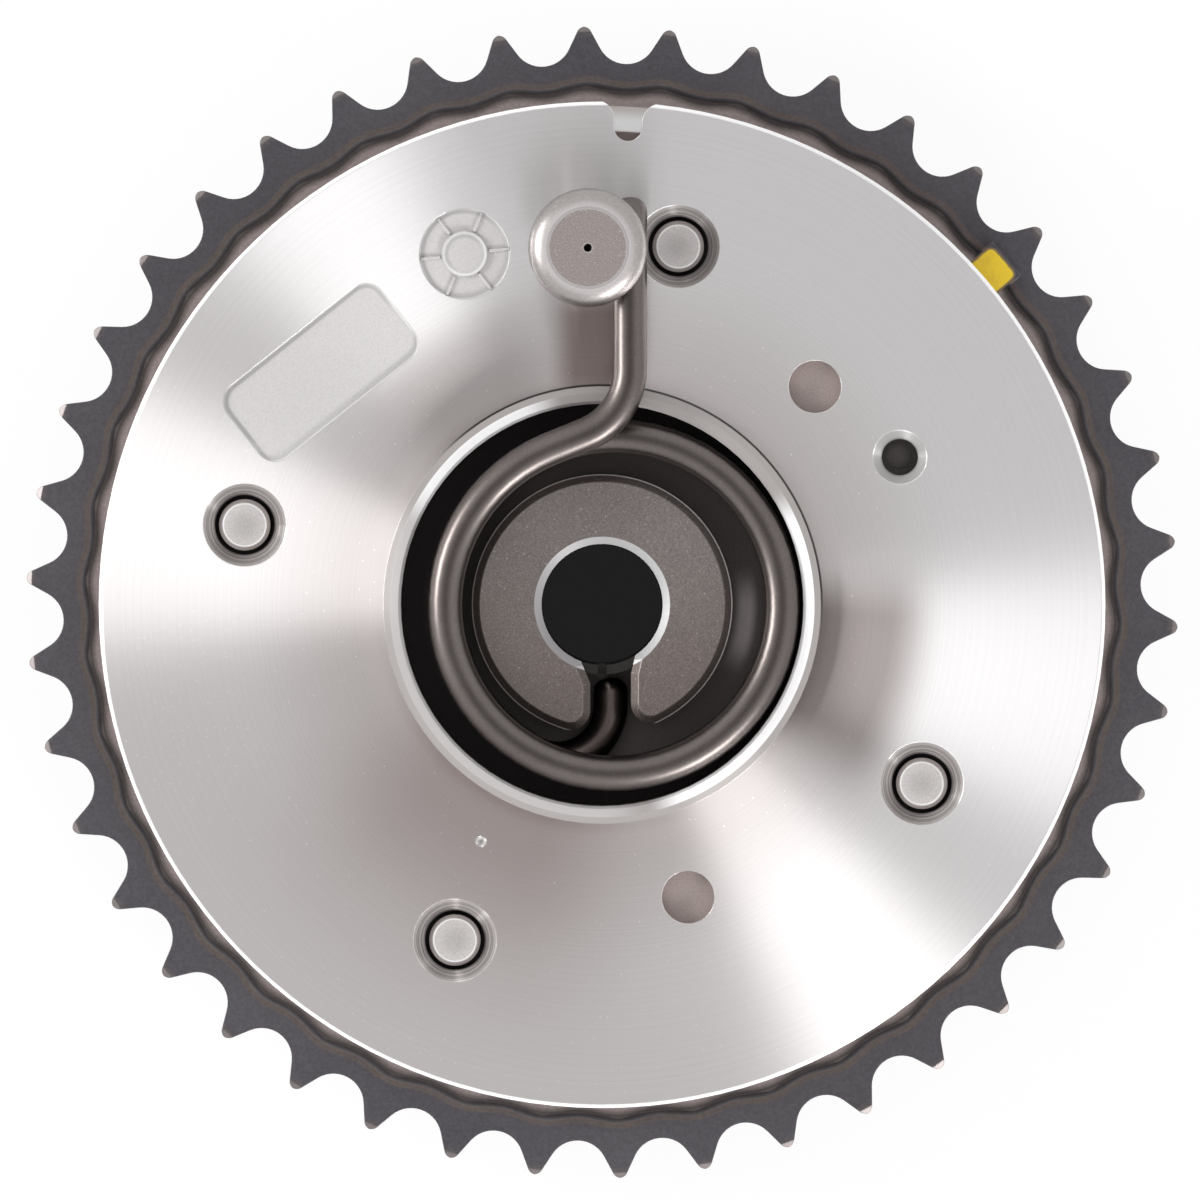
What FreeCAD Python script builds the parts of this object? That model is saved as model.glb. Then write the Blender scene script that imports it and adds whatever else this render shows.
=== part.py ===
import FreeCAD, Part
import math
import os
import Sketcher

# Vane-type camshaft phaser with a torsion bias spring, lying on its rear boss.
# Origin on the turning axis at the rear face, +Z towards the cover and the spring.
# Lengths in millimetres, angles in degrees counter-clockwise from +X, seen from the front.

vector = FreeCAD.Vector
up = vector(0, 0, 1)

driving_sizes = [
    # chain ring
    ("tooth_count", 42, "teeth on the chain ring"),
    ("chain_pitch", 8.0, "pitch of the timing chain"),
    ("roller_radius", 2.5, "radius of the chain's roller"),
    ("seat_radius", 2.85, "radius of the valley that seats a roller"),
    ("flank_angle", 31.0, "slope of a tooth flank from the radial line"),
    ("tip_height", 1.03, "tooth tip above the pitch circle"),
    ("tip_round", 0.85, "rounding of the tooth tip's corners"),
    ("first_tooth_angle", 6.1, "angle of the first tooth"),
    ("tooth_width", 5.0, "thickness of the tooth ring"),
    ("tooth_setback", 2.0, "tooth ring behind the plate's front face"),
    ("tooth_chamfer", 0.3, "fall of the chamfer on the sides of the teeth"),
    ("tooth_chamfer_reach", 0.5, "radial width of the chamfer on the sides of the teeth"),
    # sprocket body
    ("boss_height", 4.0, "height of the rear boss"),
    ("boss_radius", 24.0, "outer radius of the rear boss"),
    ("plate_thickness", 9.0, "thickness of the sprocket plate"),
    ("rear_shoulder_radius", 47.5, "rear shoulder behind the teeth"),
    ("shoulder_radius", 48.9, "front shoulder in front of the teeth"),
    ("scallop_depth", 0.5, "depth of the waves in the front shoulder"),
    ("scallop_share", 0.96, "share of the tooth's step that a wave takes"),
    ("edge_break", 0.5, "chamfer on the large outer edges"),
    # stator and its chambers
    ("stator_radius", 47.0, "outer radius of the stator"),
    ("stator_height", 14.0, "height of the stator and its chambers"),
    ("stator_chamfer", 2.4, "chamfer on the stator's front edge"),
    ("chamber_radius", 40.5, "outer radius of the oil chambers"),
    ("phase_travel", 25.0, "turn of the rotor from stop to stop"),
    ("stop_gap", 1.0, "angle left between a vane and its stop"),
    # rotor
    ("core_radius", 22.0, "outer radius of the rotor's core"),
    ("tip_clearance", 0.05, "radial running clearance of vanes and core"),
    ("side_clearance", 0.03, "axial running clearance of the rotor"),
    ("journal_radius", 16.0, "rear journal that carries the sprocket"),
    ("journal_clearance", 0.04, "radial clearance of the journal"),
    ("journal_setback", 0.6, "journal's end in front of the rear face"),
    ("seat_bore_radius", 12.5, "bore that seats the camshaft's nose"),
    ("seat_bore_depth", 10.0, "depth of the camshaft seat"),
    ("centre_radius", 5.71, "radius of the centre bolt's passage"),
    ("spring_room_depth", 4.0, "depth of the spring room in the rotor"),
    ("port_radius", 1.2, "radius of the oil ports"),
    ("port_step", 3.0, "angle between a vane and its oil port"),
    ("dowel_radius", 1.5, "radius of the camshaft dowel's hole"),
    ("dowel_depth", 4.5, "depth of the camshaft dowel's hole"),
    # cover
    ("cover_radius", 47.4, "outer radius of the cover"),
    ("cover_thickness", 7.0, "thickness of the cover"),
    ("cover_chamfer", 0.35, "chamfer on the cover's front rim"),
    ("collar_radius", 20.6, "outer radius of the collar"),
    ("collar_wall", 1.65, "wall of the collar round the cover's opening"),
    ("collar_height", 1.2, "height of the collar above the cover"),
    ("collar_chamfer", 0.25, "chamfer on the collar's inner edge"),
    ("collar_bevel", 0.62, "width of the bevel on the collar's outer edge"),
    ("collar_bevel_drop", 0.2, "fall of the bevel on the collar's outer edge"),
    # notch in the cover's rim
    ("notch_angle", 86.9, "angle of the rim notch"),
    ("notch_depth", 3.65, "radial depth of the rim notch"),
    ("notch_half_width", 1.32, "half the width of the rim notch"),
    ("notch_lip", 1.7, "rounding of the notch's lips"),
    # screws
    ("screw_circle", 34.5, "radius of the circle through the screws"),
    ("screw_radius", 2.42, "radius of the M5 screws"),
    ("thread_clearance", 0.03, "screw to tapped hole"),
    ("screw_hole_play", 0.28, "screw to clearance hole"),
    ("screw_head_radius", 4.3, "radius of the screw heads"),
    ("screw_head_height", 3.2, "height of the screw heads"),
    ("socket_radius", 1.6, "drive socket in the screw heads"),
    ("socket_depth", 1.9, "depth of the drive socket"),
    ("lobe_radius", 0.52, "lobes of the drive socket"),
    ("lobe_count", 6, "lobes of the drive socket, number"),
    ("screw_end_setback", 0.7, "screw ends below the cover's face"),
    ("screw_end_chamfer", 0.42, "chamfer on the screw ends"),
    ("recess_radius", 3.93, "mouth radius of the screw recesses"),
    ("recess_depth", 1.6, "depth of the screw recesses' cone"),
    ("relief_radius", 2.8, "radius of the thread relief"),
    ("relief_depth", 3.6, "depth of the thread relief"),
    # features on the cover's face
    ("lock_setback", 9.2, "lock pin and vent inwards of the chambers' wall"),
    ("vent_angle", 26.4, "angle at which lock pin and vent lie"),
    ("vent_radius", 1.7, "radius of the vent hole"),
    ("vent_mouth_radius", 2.56, "mouth radius of the vent's countersink"),
    ("tool_hole_circle", 28.7, "radius at which the tool holes lie"),
    ("tool_hole_radius", 2.48, "radius of the tool holes"),
    ("tool_hole_depth", 1.3, "depth of the tool holes"),
    ("tool_hole_angle_one", 45.7, "angle of the first tool hole"),
    ("tool_hole_angle_two", -73.6, "angle of the second tool hole"),
    ("dimple_circle", 25.05, "radius at which the dimple lies"),
    ("dimple_angle", 242.9, "angle of the dimple"),
    ("dimple_radius", 0.55, "radius of the dimple"),
    ("dimple_floor", 0.11, "radius of the dimple's floor"),
    ("dimple_depth", 0.44, "depth of the dimple"),
    ("dial_circle", 35.5, "radius at which the round dial lies"),
    ("dial_angle", 111.4, "angle of the round dial"),
    ("dial_radius", 4.27, "radius of the round dial's recess"),
    ("dial_hub_radius", 2.15, "radius of the dial's raised centre"),
    ("face_recess_depth", 0.3, "depth of the dial and label recesses"),
    ("label_x", -26.5, "label recess, centre across"),
    ("label_y", 21.9, "label recess, centre up"),
    ("label_turn", 38.5, "turn of the label recess"),
    ("label_length", 18.6, "length of the label recess"),
    ("label_width", 8.6, "width of the label recess"),
    ("label_corner", 1.9, "corner radius of the label recess"),
    # spring, hub and post
    ("wire_radius", 1.6, "radius of the spring's wire"),
    ("coil_side_gap", 0.35, "spring's turns to the wall of their room"),
    ("coil_offset", 1.1, "turns' centre off the axis, across"),
    ("coil_start_angle", 112.0, "angle at which the tail joins the turns"),
    ("coil_sweep", 1203.0, "angle wound by the turns"),
    ("coil_room", 0.3, "spring to the floor of its room"),
    ("tail_x", 2.63, "the tail's centre line, across"),
    ("tail_overhang", 4.75, "the tail's outer end beyond the post's axis"),
    ("tail_lift", 0.4, "tail above the collar"),
    ("tail_bend", 6.6, "radius of the tail's bend"),
    ("leg_x", 0.8, "the inner leg's centre line, across"),
    ("leg_bend_share", 0.3145, "inner leg's bend as a share of the turns' radius"),
    ("leg_end", 6.95, "inner leg's end from the axis"),
    ("hub_side_gap", 0.92, "spring hub to the spring's turns"),
    ("hub_height", 8.5, "height of the spring hub"),
    ("hub_bore_chamfer", 0.68, "chamfer at the mouth of the hub's bore"),
    ("hub_chamfer", 0.75, "width of the bevel round the hub's front face"),
    ("hub_chamfer_drop", 0.35, "fall of the bevel round the hub's front face"),
    ("hub_lip_height", 1.0, "lip of the hub in front of the sleeve"),
    ("hub_slot_left", 1.12, "slot's left face from the middle"),
    ("hub_slot_right", 2.72, "slot's right face from the middle"),
    ("slot_flare_left", 1.94, "widening of the slot's left face towards the bore"),
    ("slot_flare_right", 0.86, "widening of the slot's right face towards the bore"),
    ("flare_start_left", 7.4, "start of the left widening from the axis"),
    ("flare_start_right", 6.5, "start of the right widening from the axis"),
    ("hub_tip_round", 1.9, "rounding of the hub's tips at the slot"),
    ("sleeve_wall", 0.89, "wall of the locating sleeve"),
    ("sleeve_slit", 0.8, "slit of the locating sleeve"),
    ("sleeve_play", 0.02, "locating sleeve to its counterbores"),
    ("sleeve_depth", 5.0, "locating sleeve's depth in the rotor"),
    ("post_x", -1.35, "spring post, across"),
    ("post_setback", 6.85, "spring post inwards of the chambers' wall"),
    ("post_radius", 2.3, "radius of the post's shank"),
    ("post_depth", 8.0, "depth of the post in the stator"),
    ("post_head_radius", 5.6, "radius of the post's head"),
    ("post_head_height", 3.2, "height of the post's head"),
    ("post_head_round", 1.95, "rounding of the post head's rim"),
    ("post_head_room", 0.2, "post's head above the tail"),
    ("centre_mark_radius", 0.4, "radius of the turning centre's mark"),
    # seals
    ("seal_width", 2.3, "width of the seal strips"),
    ("seal_height", 2.2, "radial height of the seal strips"),
    ("seal_play", 0.05, "seal strip to the walls of its slot"),
    ("leaf_room", 0.8, "radial room of the leaf spring"),
    ("leaf_thickness", 0.25, "thickness of the leaf spring"),
    ("leaf_width", 1.8, "width of the leaf spring"),
    # lock pin
    ("pin_radius", 3.5, "radius of the lock pin's nose"),
    ("pin_clearance", 0.05, "radial clearance of the lock pin"),
    ("pin_flange_radius", 4.5, "radius of the lock pin's flange"),
    ("pin_nose_length", 5.6, "length of the lock pin's nose"),
    ("pin_flange_height", 2.2, "height of the lock pin's flange"),
    ("pin_drop", 3.0, "depth to which the lock pin can engage"),
    ("pin_bore_radius", 2.4, "bore of the lock pin that holds its spring"),
    ("pin_floor", 2.4, "thickness of the lock pin's nose wall"),
    ("plug_height", 2.7, "height of the lock plug"),
    ("plug_setback", 0.05, "lock plug below the vane's face"),
    ("plug_vent_radius", 1.2, "vent in the lock plug"),
    ("lock_coil_radius", 1.9, "mean radius of the lock spring"),
    ("lock_wire_radius", 0.35, "radius of the lock spring's wire"),
    ("lock_turns", 5, "turns of the lock spring"),
    ("bushing_wall", 1.55, "wall of the lock bushing"),
    ("bushing_height", 4.4, "height of the lock bushing"),
    ("bushing_play", 0.15, "lock pin to its bushing"),
    # timing mark
    ("mark_tooth", 4, "the tooth that carries the timing mark"),
    ("mark_half_width", 1.95, "half the width of the timing mark"),
    ("mark_length", 2.7, "radial length of the timing mark"),
    ("mark_corner", 0.8, "corner rounding of the timing mark"),
    ("mark_film", 0.12, "thickness of the timing mark's paint"),
    ("mark_gap", 0.4, "timing mark to the stator"),
    ("mark_margin", 0.15, "pad around the timing mark"),
]

# angles at which the clamping screws stand
screw_angles = [78.0, 167.4, 246.3, 330.8]
# start and end of each vane at rest, the wide one with the lock pin first
vane_spans = [(-4.0, 41.0), (98.0, 122.0), (182.5, 206.5), (264.0, 288.0)]

document = FreeCAD.newDocument("cam_phaser")
sheet = document.addObject("Spreadsheet::Sheet", "Sizes")
parts = []


class Size:
    # a number that keeps the sheet expression it comes from
    def __init__(self, text, value):
        self.text = text
        self.value = float(value)

    def __add__(self, other):
        return Size("(%s + %s)" % (self.text, text_of(other)), self.value + number(other))

    def __radd__(self, other):
        return Size("(%s + %s)" % (text_of(other), self.text), number(other) + self.value)

    def __sub__(self, other):
        return Size("(%s - %s)" % (self.text, text_of(other)), self.value - number(other))

    def __rsub__(self, other):
        return Size("(%s - %s)" % (text_of(other), self.text), number(other) - self.value)

    def __mul__(self, other):
        return Size("(%s * %s)" % (self.text, text_of(other)), self.value * number(other))

    def __rmul__(self, other):
        return Size("(%s * %s)" % (text_of(other), self.text), number(other) * self.value)

    def __truediv__(self, other):
        return Size("(%s / %s)" % (self.text, text_of(other)), self.value / number(other))

    def __rtruediv__(self, other):
        return Size("(%s / %s)" % (text_of(other), self.text), number(other) / self.value)

    def __neg__(self):
        return Size("(0 - %s)" % self.text, -self.value)


def number(value):
    return value.value if isinstance(value, Size) else float(value)


def text_of(value):
    return value.text if isinstance(value, Size) else "(%.9g)" % value


def cosine(angle):
    return Size("cos(%s)" % text_of(angle), math.cos(math.radians(number(angle))))


def sine(angle):
    return Size("sin(%s)" % text_of(angle), math.sin(math.radians(number(angle))))


def root(value):
    return Size("sqrt(%s)" % text_of(value), math.sqrt(number(value)))


def fill_sheet():
    for row, (name, value, note) in enumerate(driving_sizes, start=1):
        sheet.set("A%d" % row, name)
        sheet.set("B%d" % row, str(value))
        sheet.set("C%d" % row, note)
        sheet.setAlias("B%d" % row, name)
    document.recompute()


def size(name):
    return Size("Sizes.%s" % name, sheet.get(name))


def polar(radius, angle):
    return radius * cosine(angle), radius * sine(angle)


def bind(item, path, value):
    if isinstance(value, Size):
        item.setExpression(path, value.text)


# Pieces and sketches

def new_piece(label):
    body = document.addObject("PartDesign::Body", label)
    body.Label = label
    parts.append(body)
    return body


def origin_item(body, role):
    return [item for item in body.Origin.OriginFeatures if item.Role == role][0]


def new_sketch(body, name, lift=0, turn=0):
    sketch = body.newObject("Sketcher::SketchObject", name)
    sketch.AttachmentSupport = [(origin_item(body, "XY_Plane"), "")]
    sketch.MapMode = "FlatFace"
    spin = FreeCAD.Rotation(up, number(turn))
    sketch.AttachmentOffset = FreeCAD.Placement(vector(0, 0, number(lift)), spin)
    bind(sketch, "AttachmentOffset.Base.z", lift)
    if abs(number(turn)) > 0:
        bind(sketch, "AttachmentOffset.Rotation.Angle", turn)
    return sketch


def upright_sketch(body, name):
    sketch = body.newObject("Sketcher::SketchObject", name)
    sketch.AttachmentSupport = [(origin_item(body, "XZ_Plane"), "")]
    sketch.MapMode = "FlatFace"
    return sketch


def hold(sketch, kind, places, value):
    index = sketch.addConstraint(Sketcher.Constraint(kind, *places, number(value)))
    bind(sketch, "Constraints[%d]" % index, value)


def draw_circle(sketch, x, y, radius):
    middle = vector(number(x), number(y), 0)
    index = sketch.addGeometry(Part.Circle(middle, up, number(radius)), False)
    hold(sketch, "DistanceX", (-1, 1, index, 3), x)
    hold(sketch, "DistanceY", (-1, 1, index, 3), y)
    hold(sketch, "Radius", (index,), radius)


def draw_outline(sketch, corners, arcs=None):
    # arcs: number of the corner an arc starts from, to (centre x, centre y, radius, 1 or -1 turn)
    arcs = arcs or {}
    spots = [vector(number(x), number(y), 0) for x, y in corners]
    ends = []
    for index, spot in enumerate(spots):
        after = spots[(index + 1) % len(spots)]
        if index in arcs:
            centre_x, centre_y, radius, side = arcs[index]
            middle = vector(number(centre_x), number(centre_y), 0)
            first, last = (spot, after) if side > 0 else (after, spot)
            low = math.atan2(first.y - middle.y, first.x - middle.x)
            high = math.atan2(last.y - middle.y, last.x - middle.x)
            if high <= low:
                high += 2 * math.pi
            ring = Part.Circle(middle, up, number(radius))
            edge = sketch.addGeometry(Part.ArcOfCircle(ring, low, high), False)
            # the ends leave the centre one way to move, across the chord
            if abs(after.x - spot.x) > abs(after.y - spot.y):
                hold(sketch, "DistanceY", (-1, 1, edge, 3), centre_y)
            else:
                hold(sketch, "DistanceX", (-1, 1, edge, 3), centre_x)
            ends.append((edge, 1, 2) if side > 0 else (edge, 2, 1))
        else:
            edge = sketch.addGeometry(Part.LineSegment(spot, after), False)
            ends.append((edge, 1, 2))
    for index, (x, y) in enumerate(corners):
        edge, start, _ = ends[index]
        before, _, finish = ends[index - 1]
        sketch.addConstraint(Sketcher.Constraint("Coincident", before, finish, edge, start))
        hold(sketch, "DistanceX", (-1, 1, edge, start), x)
        hold(sketch, "DistanceY", (-1, 1, edge, start), y)


def pad(body, name, sketch, length):
    feature = body.newObject("PartDesign::Pad", name)
    feature.Profile = sketch
    feature.Length = number(length)
    bind(feature, "Length", length)
    body.Tip = feature
    return feature


def pocket(body, name, sketch, depth, upwards=False):
    # cuts from the sketch down into the piece, or up into it
    feature = body.newObject("PartDesign::Pocket", name)
    feature.Profile = sketch
    feature.Length = number(depth)
    bind(feature, "Length", depth)
    feature.Reversed = upwards
    body.Tip = feature
    return feature


def revolve(body, name, corners, arcs=None):
    sketch = upright_sketch(body, name + "_outline")
    draw_outline(sketch, corners, arcs)
    feature = body.newObject("PartDesign::Revolution", name)
    feature.Profile = sketch
    feature.ReferenceAxis = (sketch, ["V_Axis"])
    feature.Angle = 360
    body.Tip = feature
    return feature


def ring_pattern(body, name, feature, count):
    pattern = body.newObject("PartDesign::PolarPattern", name)
    pattern.Originals = [feature]
    pattern.Axis = (origin_item(body, "Z_Axis"), [""])
    pattern.Angle = 360
    pattern.Occurrences = int(number(count))
    bind(pattern, "Occurrences", count)
    body.Tip = pattern
    return pattern


def countersink(body, name, place, top, mouth, bottom, depth):
    # a cone-shaped cut that opens upwards, with its mouth at the height top
    feature = body.newObject("PartDesign::SubtractiveCone", name)
    for path, value in (("Radius1", bottom), ("Radius2", mouth), ("Height", depth)):
        setattr(feature, path, number(value))
        bind(feature, path, value)
    spot = (place[0], place[1], top - depth)
    feature.Placement = FreeCAD.Placement(vector(*[number(value) for value in spot]), FreeCAD.Rotation())
    for letter, value in zip("xyz", spot):
        bind(feature, "Placement.Base." + letter, value)
    body.Tip = feature
    return feature


def drill(body, name, places, radius, top, depth, upwards=False):
    sketch = new_sketch(body, name + "_circles", top)
    for x, y in places:
        draw_circle(sketch, x, y, radius)
    return pocket(body, name, sketch, depth, upwards)


def chamfer_edges(body, name, chosen, width, drop):
    # chamfers the picked edges: width along the front face, drop down the wall
    document.recompute()
    base = body.Tip
    edges = ["Edge%d" % place for place, edge in enumerate(base.Shape.Edges, start=1) if chosen(edge)]
    feature = body.newObject("PartDesign::Chamfer", name)
    feature.Base = (base, edges)
    feature.ChamferType = "Two distances"
    for path, value in (("Size", drop), ("Size2", width)):
        setattr(feature, path, number(value))
        bind(feature, path, value)
    body.Tip = feature


def lies_at(edge, height):
    box = edge.BoundBox
    return abs(box.ZMin - number(height)) < 0.001 and abs(box.ZMax - number(height)) < 0.001


def farthest(edge):
    # the edge's largest distance from the turning axis
    return max(math.hypot(spot.x, spot.y) for spot in edge.discretize(5))


def move_piece(body, x, y, turn=0):
    body.Placement = FreeCAD.Placement(vector(number(x), number(y), 0), FreeCAD.Rotation(up, number(turn)))
    bind(body, "Placement.Base.x", x)
    bind(body, "Placement.Base.y", y)
    if abs(number(turn)) > 0:
        bind(body, "Placement.Rotation.Angle", turn)


def sector_outline(sketch, inner, outer, half_angle):
    # a piece of a ring, centred on the sketch's X axis
    inner_x, inner_y = polar(inner, half_angle)
    outer_x, outer_y = polar(outer, half_angle)
    corners = [(inner_x, -inner_y), (outer_x, -outer_y), (outer_x, outer_y), (inner_x, inner_y)]
    draw_outline(sketch, corners, {1: (0, 0, outer, 1), 3: (0, 0, inner, -1)})


def block_outline(sketch, low, high, half_width):
    corners = [(low, -half_width), (high, -half_width), (high, half_width), (low, half_width)]
    draw_outline(sketch, corners)


def rounded_outline(sketch, half_length, half_width, corner):
    long_in = half_length - corner
    wide_in = half_width - corner
    corners = []
    arcs = {}
    for across, along in ((1, -1), (1, 1), (-1, 1), (-1, -1)):
        side = (across * half_length, along * wide_in)
        end = (across * long_in, along * half_width)
        pair = [end, side] if across * along < 0 else [side, end]
        arcs[len(corners)] = (across * long_in, along * wide_in, corner, 1)
        corners.extend(pair)
    draw_outline(sketch, corners, arcs)


fill_sheet()

# Heights and places that follow from the driving sizes
plate_top = size("boss_height") + size("plate_thickness")
stator_top = plate_top + size("stator_height")
cover_top = stator_top + size("cover_thickness")
collar_top = cover_top + size("collar_height")
tooth_high = plate_top - size("tooth_setback")
tooth_low = tooth_high - size("tooth_width")
pitch_radius = size("chain_pitch") / (2 * sine(180 / size("tooth_count")))
root_radius = pitch_radius - size("roller_radius")
tip_radius = pitch_radius + size("tip_height")
tooth_step = 360 / size("tooth_count")
mark_angle = size("first_tooth_angle") + size("mark_tooth") * tooth_step
mark_low = size("stator_radius") + size("mark_gap")
mark_high = mark_low + size("mark_length")
rotor_low = plate_top + size("side_clearance")
rotor_high = stator_top - size("side_clearance")
vane_radius = size("chamber_radius") - size("tip_clearance")
land_radius = size("core_radius") + size("tip_clearance")
spring_floor = rotor_high - size("spring_room_depth")
hub_top = spring_floor + size("hub_height")
sleeve_radius = size("centre_radius") + size("sleeve_wall")
sleeve_bore = sleeve_radius + size("sleeve_play")
sleeve_low = spring_floor - size("sleeve_depth")
sleeve_high = hub_top - size("hub_lip_height")
seat_top = size("journal_setback") + size("seat_bore_depth")
tail_height = collar_top + size("tail_lift") + size("wire_radius")
coil_low = spring_floor + size("coil_room") + size("wire_radius")
post_y = size("chamber_radius") - size("post_setback")
lock_place = polar(size("chamber_radius") - size("lock_setback"), size("vent_angle"))
opening_radius = size("collar_radius") - size("collar_wall")
coil_radius = opening_radius - size("wire_radius") - size("coil_offset") - size("coil_side_gap")
hub_radius = coil_radius - size("wire_radius") - size("coil_offset") - size("hub_side_gap")
screw_places = [polar(size("screw_circle"), angle) for angle in screw_angles]
seal_slot_half = size("seal_width") / 2 + size("seal_play")
seal_slot_depth = size("seal_height") + size("leaf_room")
plug_top = rotor_high - size("plug_setback")
plug_low = plug_top - size("plug_height")
pin_step = rotor_low + size("pin_nose_length") - size("pin_drop")
bushing_bore = size("pin_radius") + size("bushing_play")
bushing_radius = bushing_bore + size("bushing_wall")


def chamber_spans():
    # each chamber leaves its vane the full travel and a gap at both stops
    room = size("phase_travel") + size("stop_gap")
    return [(start - size("stop_gap"), end + room) for start, end in vane_spans]


def land_middles():
    spans = chamber_spans()
    middles = []
    for index, (_, end) in enumerate(spans):
        after = spans[(index + 1) % len(spans)][0]
        if number(after) < number(end):
            after = after + 360
        middles.append((end + after) / 2)
    return middles


def make_sprocket():
    body = new_piece("sprocket")
    bore = size("journal_radius") + size("journal_clearance")
    boss = size("boss_radius")
    rear = size("rear_shoulder_radius")
    edge = size("edge_break")
    slope = size("tooth_chamfer")
    tooth_flat = tip_radius - size("tooth_chamfer_reach")
    shoulder = size("shoulder_radius")
    corners = [
        (bore, 0),
        (boss - edge, 0),
        (boss, edge),
        (boss, size("boss_height")),
        (rear, size("boss_height")),
        (rear, tooth_low),
        (tooth_flat, tooth_low),
        (tip_radius, tooth_low + slope),
        (tip_radius, tooth_high - slope),
        (tooth_flat, tooth_high),
        (shoulder, tooth_high),
        (shoulder, plate_top - edge / 2),
        (shoulder - edge / 2, plate_top),
        (bore, plate_top),
    ]
    revolve(body, "sprocket_blank", corners)
    cut_tooth_gaps(body)
    cut_scallops(body)
    through = plate_top - size("boss_height")
    drill(body, "sprocket_screw_holes", screw_places, size("screw_radius") + size("screw_hole_play"),
          plate_top, through)
    drill(body, "bushing_seat", [lock_place], bushing_radius, plate_top, size("bushing_height"))
    drill(body, "bushing_drain", [lock_place], size("port_radius"), plate_top, through)
    sketch = new_sketch(body, "mark_pad_outline", tooth_high, mark_angle)
    margin = size("mark_margin")
    block_outline(sketch, mark_low, mark_high + margin, size("mark_half_width") + margin)
    pad(body, "mark_pad", sketch, size("tooth_setback"))


def cut_tooth_gaps(body):
    # one valley between two teeth: roller seat, straight flanks and rounded tooth corners
    seat = size("seat_radius")
    flank = size("flank_angle")
    soft = size("tip_round")
    middle = root_radius + seat
    touch_x = middle - seat * sine(flank)
    touch_y = seat * cosine(flank)
    # the round's centre lies inside the tooth, on a line beside the flank
    aside = seat + soft - middle * sine(flank)
    reach = tip_radius - soft
    along = root(reach * reach - aside * aside)
    round_x = along * cosine(flank) - aside * sine(flank)
    round_y = along * sine(flank) + aside * cosine(flank)
    leave_x = round_x + soft * sine(flank)
    leave_y = round_y - soft * cosine(flank)
    tip_x = round_x * tip_radius / reach
    tip_y = round_y * tip_radius / reach
    outside = tip_radius + soft
    corners = [
        (touch_x, -touch_y),
        (leave_x, -leave_y),
        (tip_x, -tip_y),
        (outside, -tip_y),
        (outside, tip_y),
        (tip_x, tip_y),
        (leave_x, leave_y),
        (touch_x, touch_y),
    ]
    arcs = {
        1: (round_x, -round_y, soft, -1),
        5: (round_x, round_y, soft, -1),
        7: (middle, 0, seat, 1),
    }
    sketch = new_sketch(body, "tooth_gap_outline", plate_top, size("first_tooth_angle") - tooth_step / 2)
    draw_outline(sketch, corners, arcs)
    gap = pocket(body, "tooth_gap", sketch, size("plate_thickness"))
    ring_pattern(body, "tooth_gaps", gap, size("tooth_count"))


def cut_scallops(body):
    # shallow waves in the front shoulder, one in line with each valley
    depth = size("scallop_depth")
    half_wave = size("scallop_share") * tooth_step / 2
    edge_x, edge_y = polar(size("shoulder_radius"), half_wave)
    bottom = size("shoulder_radius") - depth
    rise = edge_x - bottom
    sweep = (edge_y * edge_y + rise * rise) / (2 * rise)
    outside = size("shoulder_radius") + depth
    corners = [(edge_x, -edge_y), (outside, -edge_y), (outside, edge_y), (edge_x, edge_y)]
    sketch = new_sketch(body, "scallop_outline", plate_top, size("first_tooth_angle") - tooth_step / 2)
    draw_outline(sketch, corners, {3: (bottom + sweep, 0, sweep, 1)})
    wave = pocket(body, "scallop", sketch, size("tooth_setback"))
    ring_pattern(body, "scallops", wave, size("tooth_count"))


def make_stator():
    body = new_piece("stator")
    outer = size("stator_radius")
    slope = size("stator_chamfer")
    edge = size("edge_break")
    corners = [
        (land_radius, plate_top),
        (outer - edge, plate_top),
        (outer, plate_top + edge),
        (outer, stator_top - slope),
        (outer - slope, stator_top),
        (land_radius, stator_top),
    ]
    revolve(body, "stator_ring", corners)
    for index, (start, end) in enumerate(chamber_spans(), start=1):
        sketch = new_sketch(body, "chamber_outline_%d" % index, stator_top, (start + end) / 2)
        sector_outline(sketch, size("journal_radius"), size("chamber_radius"), (end - start) / 2)
        pocket(body, "chamber_%d" % index, sketch, size("stator_height"))
    for index, angle in enumerate(land_middles(), start=1):
        sketch = new_sketch(body, "land_slot_outline_%d" % index, stator_top, angle)
        block_outline(sketch, size("journal_radius"), land_radius + seal_slot_depth, seal_slot_half)
        pocket(body, "land_slot_%d" % index, sketch, size("stator_height"))
    drill(body, "stator_screw_holes", screw_places, size("screw_radius") + size("screw_hole_play"),
          stator_top, size("stator_height"))
    drill(body, "stator_post_hole", [(size("post_x"), post_y)], size("post_radius"),
          stator_top, size("post_depth"))


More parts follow.
